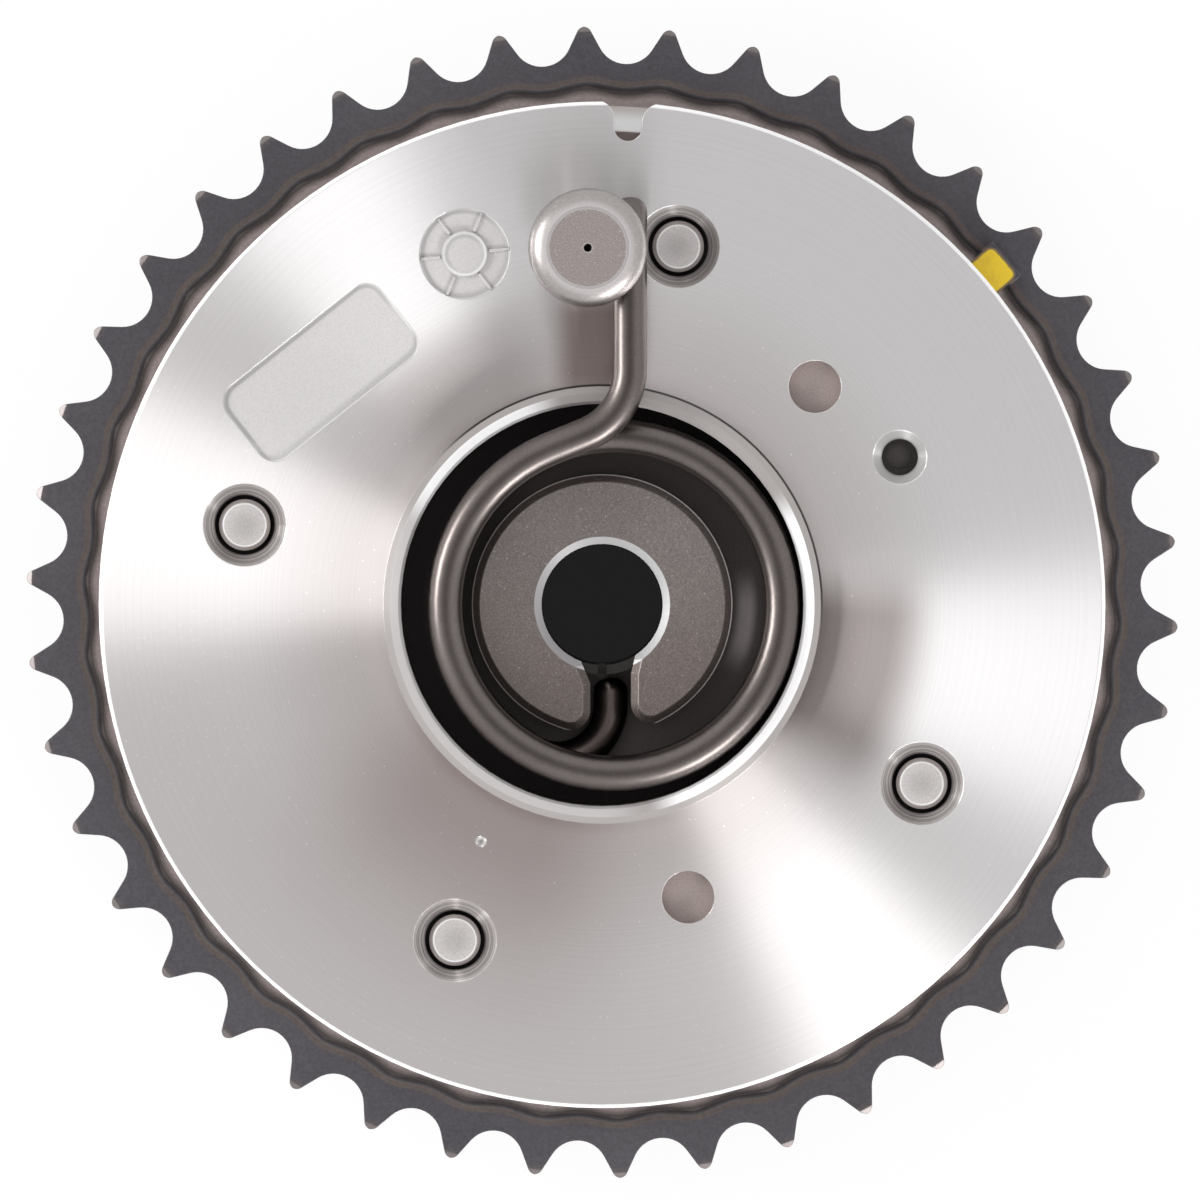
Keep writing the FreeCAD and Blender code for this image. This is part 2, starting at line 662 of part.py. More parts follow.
def make_cover():
    body = new_piece("cover_plate")
    outer = size("cover_radius")
    edge = size("edge_break")
    rim = size("cover_chamfer")
    soft = size("collar_chamfer")
    opening = opening_radius
    collar = size("collar_radius")
    corners = [
        (opening, stator_top),
        (outer - edge, stator_top),
        (outer, stator_top + edge),
        (outer, cover_top - rim),
        (outer - rim, cover_top),
        (collar, cover_top),
        (collar, collar_top - size("collar_bevel_drop")),
        (collar - size("collar_bevel"), collar_top),
        (opening + soft, collar_top),
        (opening, collar_top - soft),
    ]
    revolve(body, "cover_disc", corners)
    cut_notch(body)
    thick = size("cover_thickness")
    for index, place in enumerate(screw_places, start=1):
        countersink(body, "screw_recess_%d" % index, place, cover_top,
                    size("recess_radius"), size("relief_radius"), size("recess_depth"))
    drill(body, "thread_reliefs", screw_places, size("relief_radius"), cover_top, size("relief_depth"))
    drill(body, "tapped_holes", screw_places, size("screw_radius") + size("thread_clearance"),
          cover_top, thick)
    drill(body, "cover_post_hole", [(size("post_x"), post_y)], size("post_radius"), cover_top, thick)
    drill(body, "vent_hole", [lock_place], size("vent_radius"), cover_top, thick)
    countersink(body, "vent_mouth", lock_place, cover_top, size("vent_mouth_radius"),
                size("vent_radius"), size("vent_mouth_radius") - size("vent_radius"))
    tool_places = [
        polar(size("tool_hole_circle"), size("tool_hole_angle_one")),
        polar(size("tool_hole_circle"), size("tool_hole_angle_two")),
    ]
    drill(body, "tool_holes", tool_places, size("tool_hole_radius"), cover_top, size("tool_hole_depth"))
    countersink(body, "dimple", polar(size("dimple_circle"), size("dimple_angle")), cover_top,
                size("dimple_radius"), size("dimple_floor"), size("dimple_depth"))
    dial = polar(size("dial_circle"), size("dial_angle"))
    sketch = new_sketch(body, "dial_outline", cover_top)
    draw_circle(sketch, dial[0], dial[1], size("dial_radius"))
    draw_circle(sketch, dial[0], dial[1], size("dial_hub_radius"))
    pocket(body, "dial_recess", sketch, size("face_recess_depth"))
    sketch = new_sketch(body, "label_outline", cover_top, size("label_turn"))
    sketch.AttachmentOffset = FreeCAD.Placement(
        vector(number(size("label_x")), number(size("label_y")), number(cover_top)),
        FreeCAD.Rotation(up, number(size("label_turn"))))
    bind(sketch, "AttachmentOffset.Base.x", size("label_x"))
    bind(sketch, "AttachmentOffset.Base.y", size("label_y"))
    rounded_outline(sketch, size("label_length") / 2, size("label_width") / 2, size("label_corner"))
    pocket(body, "label_recess", sketch, size("face_recess_depth"))


def cut_notch(body):
    half = size("notch_half_width")
    lip = size("notch_lip")
    rim = size("cover_radius")
    bottom = rim - size("notch_depth") + half
    lip_x = rim - lip
    wide = half + lip
    outside = rim + lip
    corners = [
        (bottom, -half),
        (lip_x, -half),
        (rim, -wide),
        (outside, -wide),
        (outside, wide),
        (rim, wide),
        (lip_x, half),
        (bottom, half),
    ]
    arcs = {
        1: (lip_x, -wide, lip, -1),
        5: (lip_x, wide, lip, -1),
        7: (bottom, 0, half, 1),
    }
    sketch = new_sketch(body, "notch_outline", cover_top, size("notch_angle"))
    draw_outline(sketch, corners, arcs)
    pocket(body, "rim_notch", sketch, size("cover_thickness"))


def make_rotor():
    body = new_piece("rotor")
    centre = size("centre_radius")
    seat = size("seat_bore_radius")
    edge = size("edge_break")
    low = size("journal_setback")
    journal = size("journal_radius")
    core = size("core_radius")
    room = opening_radius
    corners = [
        (sleeve_bore, sleeve_low),
        (centre, sleeve_low),
        (centre, seat_top),
        (seat, seat_top),
        (seat, low + edge),
        (seat + edge, low),
        (journal - edge, low),
        (journal, low + edge),
        (journal, rotor_low),
        (core, rotor_low),
        (core, rotor_high),
        (room, rotor_high),
        (room, spring_floor),
        (sleeve_bore, spring_floor),
    ]
    revolve(body, "rotor_core", corners)
    for index, (start, end) in enumerate(vane_spans, start=1):
        sketch = new_sketch(body, "vane_outline_%d" % index, rotor_low, (start + end) / 2)
        # the vane's root starts inside the core's wall
        sector_outline(sketch, (room + core) / 2, vane_radius, (end - start) / 2)
        pad(body, "vane_%d" % index, sketch, rotor_high - rotor_low)
        sketch = new_sketch(body, "vane_slot_outline_%d" % index, rotor_high, vane_seal_angle(start, end))
        block_outline(sketch, vane_radius - seal_slot_depth, size("chamber_radius"), seal_slot_half)
        pocket(body, "vane_slot_%d" % index, sketch, rotor_high - rotor_low)
    drill(body, "lock_bore", [lock_place], size("pin_radius") + size("pin_clearance"),
          rotor_high, rotor_high - rotor_low)
    drill(body, "lock_step", [lock_place], size("pin_flange_radius") + size("pin_clearance"),
          rotor_high, rotor_high - pin_step)
    cut_ports(body)


def vane_seal_angle(start, end):
    return (start + end) / 2


def cut_ports(body):
    # the camshaft's face feeds one slot and one port beside each vane
    port = size("port_radius")
    feed = size("seat_bore_radius") - 2 * port
    slot_depth = 2 * port
    feeds = []
    for index, (start, _) in enumerate(vane_spans, start=1):
        angle = start - size("port_step")
        sketch = new_sketch(body, "oil_slot_outline_%d" % index, rotor_low, angle)
        block_outline(sketch, size("journal_radius") + port, size("core_radius") + port, port)
        pocket(body, "oil_slot_%d" % index, sketch, slot_depth, upwards=True)
        feeds.append(polar(feed, angle))
    drill(body, "oil_feeds", feeds, port, seat_top, rotor_low - seat_top + slot_depth, upwards=True)
    dowel = polar(feed, (vane_spans[2][0] + vane_spans[2][1]) / 2)
    drill(body, "dowel_hole", [dowel], size("dowel_radius"), seat_top, size("dowel_depth"), upwards=True)


def make_spring_hub():
    body = new_piece("spring_hub")
    bore = size("centre_radius")
    outer = hub_radius
    slope = size("hub_bore_chamfer")
    corners = [
        (sleeve_bore, spring_floor),
        (outer, spring_floor),
        (outer, hub_top),
        (bore + slope, hub_top),
        (bore, hub_top - slope),
        (bore, sleeve_high),
        (sleeve_bore, sleeve_high),
    ]
    revolve(body, "hub_ring", corners)
    # the slot for the spring's inner leg opens between two rounded tips
    soft = size("hub_tip_round")
    left = size("hub_slot_left")
    right = size("hub_slot_right")
    inner = outer - soft
    reach = (outer + soft) / inner
    left_y = root(inner * inner - (left + soft) * (left + soft))
    right_y = root(inner * inner - (right + soft) * (right + soft))
    touch = outer / inner
    inside = bore / 2
    corners = [
        (-(left + size("slot_flare_left")), -inside),
        (-left, -size("flare_start_left")),
        (-left, -left_y),
        (-(left + soft) * touch, -left_y * touch),
        (-(left + soft) * reach, -left_y * reach),
        ((right + soft) * reach, -right_y * reach),
        ((right + soft) * touch, -right_y * touch),
        (right, -right_y),
        (right, -size("flare_start_right")),
        (right + size("slot_flare_right"), -inside),
    ]
    arcs = {
        2: (-(left + soft), -left_y, soft, -1),
        6: (right + soft, -right_y, soft, -1),
    }
    sketch = new_sketch(body, "hub_slot_outline", hub_top)
    draw_outline(sketch, corners, arcs)
    pocket(body, "hub_slot", sketch, size("hub_height"))

    def on_outside(edge):
        return lies_at(edge, hub_top) and farthest(edge) > number(bore + slope) + 0.01

    chamfer_edges(body, "hub_edge", on_outside, size("hub_chamfer"), size("hub_chamfer_drop"))


def make_sleeve():
    body = new_piece("locating_sleeve")
    inner = size("centre_radius")
    corners = [
        (inner, sleeve_low),
        (sleeve_radius, sleeve_low),
        (sleeve_radius, sleeve_high),
        (inner, sleeve_high),
    ]
    revolve(body, "sleeve_tube", corners)
    sketch = new_sketch(body, "slit_outline", sleeve_high, -90)
    block_outline(sketch, inner / 2, sleeve_radius * 2, size("sleeve_slit") / 2)
    pocket(body, "sleeve_cut", sketch, sleeve_high - sleeve_low)


def tube_along(label, stations, radius):
    # a round wire through circular sections, each with its place and heading
    rings = []
    for place, ahead in stations:
        ring = Part.Circle(place, ahead, radius)
        ring.XAxis = ahead.cross(up)
        rings.append(Part.Wire([ring.toShape()]))
    piece = document.addObject("Part::Feature", label)
    piece.Label = label
    piece.Shape = Part.makeLoft(rings, True, True)
    piece.Placement = FreeCAD.Placement()
    parts.append(piece)
    return piece


def arc_stations(centre, radius, start, end, count, side):
    # side 1 runs counter-clockwise, -1 clockwise
    stations = []
    for step in range(count + 1):
        angle = math.radians(start + (end - start) * step / count)
        place = centre + vector(radius * math.cos(angle), radius * math.sin(angle), 0)
        stations.append((place, vector(-math.sin(angle), math.cos(angle), 0) * side))
    return stations


def make_torsion_spring():
    radius = number(coil_radius)
    middle = vector(number(size("coil_offset")), 0, 0)
    first = number(size("coil_start_angle"))
    sweep = number(size("coil_sweep"))
    high = number(tail_height)
    low = number(coil_low)
    tail_line = number(size("tail_x"))
    leg_line = number(size("leg_x"))
    tail_bend = number(size("tail_bend"))
    leg_bend = radius * number(size("leg_bend_share"))
    steps_per_turn = 24
    steps_per_bend = 6

    def on_ring(angle, height):
        turn = math.radians(angle)
        return middle + vector(radius * math.cos(turn), radius * math.sin(turn), height)

    def heading(angle):
        turn = math.radians(angle)
        return vector(-math.sin(turn), math.cos(turn), 0)

    # tail: straight in over the collar, then one bend into the first turn
    start = on_ring(first, high)
    along = heading(first)
    corner = start + along * ((tail_line - start.x) / along.x)
    tail_turn = 180 - first
    reach = tail_bend * math.tan(math.radians(tail_turn / 2))
    bend_middle = vector(tail_line - tail_bend, corner.y + reach, high)
    stations = [(vector(tail_line, number(post_y + size("tail_overhang")), high), vector(0, -1, 0))]
    stations += arc_stations(bend_middle, tail_bend, 0, -tail_turn, steps_per_bend, -1)
    # turns: fall towards the rotor, counter-clockwise
    count = round(sweep * steps_per_turn / 360)
    for step in range(count + 1):
        share = step / count
        angle = first + sweep * share
        stations.append((on_ring(angle, high + (low - high) * share), heading(angle)))
    # inner leg: one bend into the hub's slot
    last = first + sweep
    end = on_ring(last, low)
    along = heading(last)
    corner = end + along * ((leg_line - end.x) / along.x)
    leg_turn = 90 - math.degrees(math.atan2(along.y, along.x))
    reach = leg_bend * math.tan(math.radians(leg_turn / 2))
    bend_middle = vector(leg_line - leg_bend, corner.y + reach, low)
    stations += arc_stations(bend_middle, leg_bend, -leg_turn, 0, steps_per_bend, 1)
    stations.append((vector(leg_line, -number(size("leg_end")), low), vector(0, 1, 0)))
    # stations that all but coincide are left out
    wire = number(size("wire_radius"))
    spaced = [stations[0]]
    for station in stations[1:]:
        if (station[0] - spaced[-1][0]).Length > wire / 2:
            spaced.append(station)
    tube_along("torsion_spring", spaced, wire)


def make_spring_post():
    body = new_piece("spring_post")
    shank = size("post_radius")
    head = size("post_head_radius")
    soft = size("post_head_round")
    edge = size("edge_break")
    dot = size("centre_mark_radius")
    low = stator_top - size("post_depth")
    head_low = tail_height + size("wire_radius") + size("post_head_room")
    head_high = head_low + size("post_head_height")
    corners = [
        (0, low),
        (shank - edge, low),
        (shank, low + edge),
        (shank, head_low),
        (head - edge, head_low),
        (head, head_low + edge),
        (head, head_high - soft),
        (head - soft, head_high),
        (dot, head_high),
        (0, head_high - dot),
    ]
    revolve(body, "post_turning", corners, {6: (head - soft, head_high - soft, soft, 1)})
    move_piece(body, size("post_x"), post_y)


def make_screw(index, place):
    body = new_piece("screw_%d" % index)
    shank = size("screw_radius")
    head = size("screw_head_radius")
    seat = size("boss_height")
    low = seat - size("screw_head_height")
    high = cover_top - size("screw_end_setback")
    tip = size("screw_end_chamfer")
    soft = size("edge_break")
    corners = [
        (0, low),
        (head - 2 * soft, low),
        (head, low + 2 * soft),
        (head, seat),
        (shank, seat),
        (shank, high - tip),
        (shank - tip, high),
        (0, high),
    ]
    name = "screw_%d" % index
    revolve(body, name + "_turning", corners)
    # six-lobed drive socket
    depth = size("socket_depth")
    socket = size("socket_radius")
    drill(body, name + "_socket", [(0, 0)], socket, low, depth, upwards=True)
    lobe = drill(body, name + "_lobe", [(socket, 0)], size("lobe_radius"), low, depth, upwards=True)
    ring_pattern(body, name + "_lobes", lobe, size("lobe_count"))
    move_piece(body, *place)


def make_seal(name, angle, low, high, leaf_low, leaf_high):
    # a strip in its slot and the bowed leaf that presses it outwards or inwards
    strip = new_piece(name)
    bottom = rotor_low
    tall = rotor_high - rotor_low
    sketch = new_sketch(strip, name + "_outline", bottom)
    block_outline(sketch, low, high, size("seal_width") / 2)
    pad(strip, name + "_strip", sketch, tall)
    move_piece(strip, 0, 0, angle)
    leaf = new_piece(name + "_leaf")
    thick = size("leaf_thickness")
    edge = size("edge_break")
    crown = leaf_high - thick
    sketch = upright_sketch(leaf, name + "_leaf_outline")
    corners = [
        (leaf_low, bottom + edge),
        (leaf_low + thick, bottom + edge),
        (leaf_high, bottom + tall / 2),
        (leaf_low + thick, bottom + tall - edge),
        (leaf_low, bottom + tall - edge),
        (crown, bottom + tall / 2),
    ]
    draw_outline(sketch, corners)
    feature = pad(leaf, name + "_leaf_strip", sketch, size("leaf_width"))
    feature.Midplane = True
    move_piece(leaf, 0, 0, angle)


def make_seals():
    room = size("leaf_room")
    tall = size("seal_height")
    for index, (start, end) in enumerate(vane_spans, start=1):
        floor = vane_radius - seal_slot_depth
        make_seal("vane_seal_%d" % index, vane_seal_angle(start, end),
                  vane_radius - tall, vane_radius, floor, floor + room)
    for index, angle in enumerate(land_middles(), start=1):
        face = land_radius + tall
        make_seal("land_seal_%d" % index, angle, land_radius, face, face, face + room)


def make_lock():
    pin = new_piece("lock_pin")
    nose = size("pin_radius")
    flange = size("pin_flange_radius")
    bore = size("pin_bore_radius")
    step = rotor_low + size("pin_nose_length")
    top = step + size("pin_flange_height")
    floor = rotor_low + size("pin_floor")
    edge = size("edge_break")
    corners = [
        (0, rotor_low),
        (nose - edge, rotor_low),
        (nose, rotor_low + edge),
        (nose, step),
        (flange, step),
        (flange, top),
        (bore, top),
        (bore, floor),
        (0, floor),
    ]
    revolve(pin, "pin_turning", corners)
    move_piece(pin, *lock_place)

    plug = new_piece("lock_plug")
    bore_wall = flange + size("pin_clearance")
    vent = size("plug_vent_radius")
    corners = [(vent, plug_low), (bore_wall, plug_low), (bore_wall, plug_top), (vent, plug_top)]
    revolve(plug, "plug_turning", corners)
    move_piece(plug, *lock_place)

    bushing = new_piece("lock_bushing")
    low = plate_top - size("bushing_height")
    corners = [
        (bushing_bore, low),
        (bushing_radius, low),
        (bushing_radius, plate_top),
        (bushing_bore + edge, plate_top),
        (bushing_bore, plate_top - edge),
    ]
    revolve(bushing, "bushing_turning", corners)
    move_piece(bushing, *lock_place)

    # the lock spring stands in the pin's bore and bears on the plug
    wire = number(size("lock_wire_radius"))
    radius = number(size("lock_coil_radius"))
    turns = number(size("lock_turns"))
    bottom = number(floor) + wire
    rise = number(plug_low) - wire - bottom
    middle = vector(number(lock_place[0]), number(lock_place[1]), bottom)
    steps_per_turn = 12
    count = round(turns * steps_per_turn)
    stations = []
    for index in range(count + 1):
        angle = 2 * math.pi * index / steps_per_turn
        place = middle + vector(radius * math.cos(angle), radius * math.sin(angle), rise * index / count)
        stations.append((place, vector(-math.sin(angle), math.cos(angle), 0)))
    tube_along("lock_spring", stations, wire)


def make_timing_mark():
    body = new_piece("timing_mark")
    inner = mark_low
    outer = mark_high
    half = size("mark_half_width")
    soft = size("mark_corner")
    corners = [
        (inner, -half),
        (outer - soft, -half),
        (outer, soft - half),
        (outer, half - soft),
        (outer - soft, half),
        (inner, half),
    ]
    arcs = {1: (outer - soft, soft - half, soft, 1), 3: (outer - soft, half - soft, soft, 1)}
    sketch = new_sketch(body, "mark_outline", plate_top)
    draw_outline(sketch, corners, arcs)
    pad(body, "mark_paint", sketch, size("mark_film"))
    move_piece(body, 0, 0, mark_angle)


make_sprocket()
make_stator()
make_cover()
make_rotor()
make_spring_hub()
make_sleeve()
make_torsion_spring()
make_spring_post()
for screw_number, screw_place in enumerate(screw_places, start=1):
    make_screw(screw_number, screw_place)
make_seals()
make_lock()
make_timing_mark()
document.recompute()

faults = []
for item in document.Objects:
    if "Invalid" in item.State or "Error" in item.State:
        faults.append("%s: %s" % (item.Name, item.State))
for piece in parts:
    if piece.Shape.isNull() or not piece.Shape.isValid():
        faults.append("%s has no valid shape" % piece.Label)
if faults:
    raise RuntimeError("; ".join(faults))

os.makedirs("parts", exist_ok=True)
for piece in parts:
    piece.Shape.exportStep("parts/%s.step" % piece.Label)
print("pieces written:", len(parts))
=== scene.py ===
import bpy
import bmesh
import math
from mathutils import Matrix, Vector


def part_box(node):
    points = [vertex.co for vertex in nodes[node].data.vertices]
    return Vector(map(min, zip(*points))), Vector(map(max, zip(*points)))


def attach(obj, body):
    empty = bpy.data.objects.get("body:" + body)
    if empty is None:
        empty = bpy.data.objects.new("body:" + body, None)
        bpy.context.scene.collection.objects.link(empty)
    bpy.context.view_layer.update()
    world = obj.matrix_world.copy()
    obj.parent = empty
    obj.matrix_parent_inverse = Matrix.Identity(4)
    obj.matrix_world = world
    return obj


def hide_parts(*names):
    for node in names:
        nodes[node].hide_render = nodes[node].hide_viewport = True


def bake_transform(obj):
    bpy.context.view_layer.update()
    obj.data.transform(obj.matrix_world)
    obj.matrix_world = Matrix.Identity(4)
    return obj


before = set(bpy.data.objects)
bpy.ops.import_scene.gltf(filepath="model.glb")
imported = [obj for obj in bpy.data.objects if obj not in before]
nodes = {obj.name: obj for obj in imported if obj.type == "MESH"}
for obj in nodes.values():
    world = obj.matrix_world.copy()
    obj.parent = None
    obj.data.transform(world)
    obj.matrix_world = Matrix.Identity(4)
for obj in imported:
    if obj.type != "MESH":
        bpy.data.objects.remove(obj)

scene = bpy.context.scene
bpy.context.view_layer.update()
print("frame loaded:", len(nodes), "nodes")

mm = 0.001
zAxis = Vector((0, 0, 1))


# camera straight over the cover, with a long lens

cameraSettings = {
    "distance": 4.2,
    "tilt": math.radians(0.58),  # leans towards the spring post
    "frameWidth": 113.7 * mm,  # what the picture spans at the tooth ring
    "offset": (-0.20 * mm, 0.20 * mm),
    "aimHeight": 8.5 * mm,
}


def makeCamera(settings):
    data = bpy.data.cameras.new("camera")
    data.sensor_width = 36
    data.lens = 36 * settings["distance"] / settings["frameWidth"]
    camera = bpy.data.objects.new("camera", data)
    scene.collection.objects.link(camera)
    lean = Vector((0, math.sin(settings["tilt"]), math.cos(settings["tilt"])))
    aim = Vector((settings["offset"][0], settings["offset"][1], settings["aimHeight"]))
    camera.location = aim + lean * settings["distance"]
    camera.rotation_euler = (-settings["tilt"], 0, 0)
    scene.camera = camera


makeCamera(cameraSettings)
print("camera placed")


# materials

def grey(value):
    return (value, value, value)


def newMaterial(name):
    material = bpy.data.materials.new(name)
    material.use_nodes = True
    tree = material.node_tree
    return material, tree, tree.nodes["Principled BSDF"]


def addNode(tree, kind, **values):
    node = tree.nodes.new(kind)
    for key, value in values.items():
        setattr(node, key, value)
    return node


def feed(tree, socket, value):
    if isinstance(value, bpy.types.NodeSocket):
        tree.links.new(value, socket)
    elif isinstance(value, tuple) and len(value) == 3 and len(socket.default_value) == 4:
        socket.default_value = (*value, 1)
    else:
        socket.default_value = value


def objectPoint(tree):
    return addNode(tree, "ShaderNodeTexCoord").outputs["Object"]


def maths(tree, operation, *values):
    node = addNode(tree, "ShaderNodeMath", operation=operation)
    for socket, value in zip(node.inputs, values):
        feed(tree, socket, value)
    return node.outputs[0]


def noise(tree, point, scale, detail=3.0, roughness=0.55):
    node = addNode(tree, "ShaderNodeTexNoise")
    feed(tree, node.inputs["Scale"], scale)
    feed(tree, node.inputs["Detail"], detail)
    feed(tree, node.inputs["Roughness"], roughness)
    feed(tree, node.inputs["Vector"], point)
    return node.outputs["Fac"]


def ramp(tree, factor, stops):
    node = addNode(tree, "ShaderNodeValToRGB")
    while len(node.color_ramp.elements) < len(stops):
        node.color_ramp.elements.new(0.5)
    for element, (place, colour) in zip(node.color_ramp.elements, stops):
        element.position = place
        element.color = (*colour, 1)
    feed(tree, node.inputs["Fac"], factor)
    return node.outputs["Color"]


def span(tree, value, low, high):
    # 0 below low, 1 above high, soft between
    node = addNode(tree, "ShaderNodeMapRange", interpolation_type="SMOOTHSTEP")
    feed(tree, node.inputs["Value"], value)
    feed(tree, node.inputs["From Min"], low)
    feed(tree, node.inputs["From Max"], high)
    return node.outputs[0]


def band(tree, value, middle, half, soft):
    # 1 within half of the middle, fading over soft
    away = maths(tree, "ABSOLUTE", maths(tree, "SUBTRACT", value, middle))
    return maths(tree, "SUBTRACT", 1.0, span(tree, away, half, half + soft))


def cylindrical(tree, point):
    # distance from the turning axis, height, and angle round it
    parts = addNode(tree, "ShaderNodeSeparateXYZ")
    feed(tree, parts.inputs[0], point)
    across, along, height = parts.outputs
    square = maths(tree, "ADD", maths(tree, "MULTIPLY", across, across),
                   maths(tree, "MULTIPLY", along, along))
    return maths(tree, "SQRT", square), height, maths(tree, "ARCTAN2", along, across)


def awayFrom(tree, point, centres):
    # flat distance to the nearest of some upright axes
    flat = addNode(tree, "ShaderNodeVectorMath", operation="MULTIPLY")
    flat.inputs[1].default_value = (1, 1, 0)
    feed(tree, flat.inputs[0], point)
    nearest = None
    for x, y in centres:
        reach = addNode(tree, "ShaderNodeVectorMath", operation="DISTANCE")
        feed(tree, reach.inputs[0], flat.outputs[0])
        reach.inputs[1].default_value = (x, y, 0)
        gap = reach.outputs["Value"]
        nearest = gap if nearest is None else maths(tree, "MINIMUM", nearest, gap)
    return nearest


def bump(tree, shader, height, strength, distance, base=None):
    node = addNode(tree, "ShaderNodeBump")
    node.inputs["Strength"].default_value = strength
    node.inputs["Distance"].default_value = distance
    feed(tree, node.inputs["Height"], height)
    if base is not None:
        feed(tree, node.inputs["Normal"], base)
    feed(tree, shader.inputs["Normal"], node.outputs[0])


def mix(tree, factor, first, second, blend="MIX"):
    node = addNode(tree, "ShaderNodeMix", data_type="RGBA", blend_type=blend)
    for socket, value in ((node.inputs[0], factor), (node.inputs[6], first), (node.inputs[7], second)):
        feed(tree, socket, value)
    return node.outputs[2]


def mixNumber(tree, factor, first, second):
    node = addNode(tree, "ShaderNodeMix", data_type="FLOAT")
    for socket, value in ((node.inputs[0], factor), (node.inputs[2], first), (node.inputs[3], second)):
        feed(tree, socket, value)
    return node.outputs[0]


def softEdges(tree, radius):
    # edges worn round by the given radius, in shading alone
    node = addNode(tree, "ShaderNodeBevel", samples=4)
    node.inputs["Radius"].default_value = radius
    return node.outputs[0]


def speckle(tree, point, settings):
    # fine powder-metal grain: dark pores, bright grains, a mask of sparse stars for painted glints, and the
    # raw noise for bump
    fine = noise(tree, point, settings["grain"], 2.0, 0.6)
    sparse = noise(tree, point, settings["grain"] * 0.55, 0.0)
    stops = [(0.30, grey(settings["pore"])), (0.50, grey(1.0)), (0.70, grey(settings["glint"]))]
    shade = ramp(tree, fine, stops)
    stars = span(tree, sparse, 0.76, 0.80)
    return shade, stars, fine


def onRing(radius, degrees):
    return radius * math.cos(math.radians(degrees)), radius * math.sin(math.radians(degrees))


screwCentres = [onRing(34.5 * mm, angle) for angle in (78.0, 167.4, 246.3, 330.8)]
ventCentre = onRing(31.3 * mm, 26.4)
dialCentre = onRing(35.5 * mm, 111.4)
dimpleCentre = onRing(25.05 * mm, 242.9)
postCentre = (-1.35 * mm, 33.65 * mm)
faceHeight = 34.0 * mm

coverSettings = {
    # the face: colours, and the radii between which it changes to the inner shade
    "bright": (0.93, 0.922, 0.925),
    "brown": (0.86, 0.83, 0.825),
    "innerShade": (0.84, 0.81, 0.80),
    "innerSpan": (21 * mm, 36 * mm),
    "shallowFloor": (0.535, 0.522, 0.515),  # as-cast floors of the dial and the label
    "shallowGrain": (0.585, 0.572, 0.565),
    # tool holes, and the depths between which their floor takes over
    "toolFloor": (0.375, 0.315, 0.298),
    "toolGrain": (0.43, 0.365, 0.348),
    "toolSpan": (0.35 * mm, 0.6 * mm),
    "dimpleSpan": (0.60 * mm, 0.66 * mm),
    # screw recesses: a ringed cone over painted shade in the deep relief
    "coneDark": (0.23, 0.208, 0.201),
    "coneLight": (0.44, 0.412, 0.402),
    "coneSpan": (1.35 * mm, 1.7 * mm),
    "reliefShade": (0.060, 0.053, 0.051),
    "recessReach": (4.0 * mm, 4.1 * mm),
    # vent: a grey countersink mouth over painted shade down the hole
    "ventMouth": (0.42, 0.41, 0.405),
    "ventShade": (0.02, 0.02, 0.02),
    "ventSpan": (0.6 * mm, 1.1 * mm),
    "ventReach": (2.7 * mm, 2.8 * mm),
    # darker patches beside the collar, the first two painted shadow of the spring and collar across the
    # bright fans, the third browner low on the left: angle, half width, fading, radii over which they end,
    # tint
    "darkPatches": [
        (-0.26, 0.20, 0.25, (27.0 * mm, 32.5 * mm), (0.48, 0.45, 0.445)),
        (2.12, 0.14, 0.30, (27.0 * mm, 32.0 * mm), (0.76, 0.745, 0.745)),
        (-2.08, 0.22, 0.50, (25.0 * mm, 47.0 * mm), (0.77, 0.73, 0.725)),
    ],
    # brown shade on the left of the spring's tail
    "tailShade": (0.50, 0.43, 0.415),
    "tailShadeAcross": (-0.6 * mm, 1.6 * mm, 3.4 * mm),
    "tailShadeUp": (24.6 * mm, 2.6 * mm, 3.6 * mm),
    # painted highlight and shadow lines along the borders of the dial and the label: distance inside, half
    # width, fading
    "borderHighlight": (0.74, 0.735, 0.73),
    "highlightBand": (0.04 * mm, 0.07 * mm, 0.07 * mm),
    "borderShadow": (0.44, 0.43, 0.425),
    "shadowBand": (0.30 * mm, 0.10 * mm, 0.14 * mm),
    "label": (-26.5 * mm, 21.9 * mm, math.radians(38.5), 9.3 * mm, 4.3 * mm, 1.9 * mm),
    "dialRadius": 4.27 * mm,
    "dialHub": 2.15 * mm,
    "roughness": 0.40,
    "anisotropic": 1.0,
    "ringScale": 5200.0,  # lathe rings per metre of radius
    "edgeWear": 0.10 * mm,
    "side": (0.48, 0.46, 0.455),
    # field of fine bright dots, painted sparkle within the bright fan on the left: cells per metre, middle
    # and half width
    "dotScale": 1180.0,
    "dotArc": (math.radians(194), 0.17),
    "dotRing": (40.0 * mm, 4.5 * mm, 3.0 * mm),
    "collarSpan": (34.9 * mm, 35.0 * mm),
    "collarFlat": (19.95 * mm, 20.03 * mm),  # outer edge of its flat
    # painted light arcs on the collar's flat, bright where the lamps catch it: middle, half width, colour
    "collarLitArcs": [
        (math.radians(208), 1.20, (0.50, 0.485, 0.48)),
        (math.radians(129), 0.38, grey(0.98)),
        (math.radians(-22), 0.86, grey(0.98)),
    ],
    "collarSatin": (0.37, 0.345, 0.337),
    # painted shadow line at the collar's foot: middle and half width, and radius, half width, fading
    "footLine": (1.15, 1.15),
    "footRing": (20.68 * mm, 0.05 * mm, 0.12 * mm),
    "footTop": 34.2 * mm,
    # the plate's edge: where its bevel starts, and the height above which it has a painted highlight
    "edgeSpan": (47.0 * mm, 47.08 * mm),
    "edgeTop": (33.5 * mm, 33.6 * mm),
}


def arcMask(tree, turn, middle, half):
    # 1 near the given angle round the axis
    near = maths(tree, "COSINE", maths(tree, "SUBTRACT", turn, middle))
    return span(tree, near, math.cos(half + 0.12), math.cos(half - 0.12))


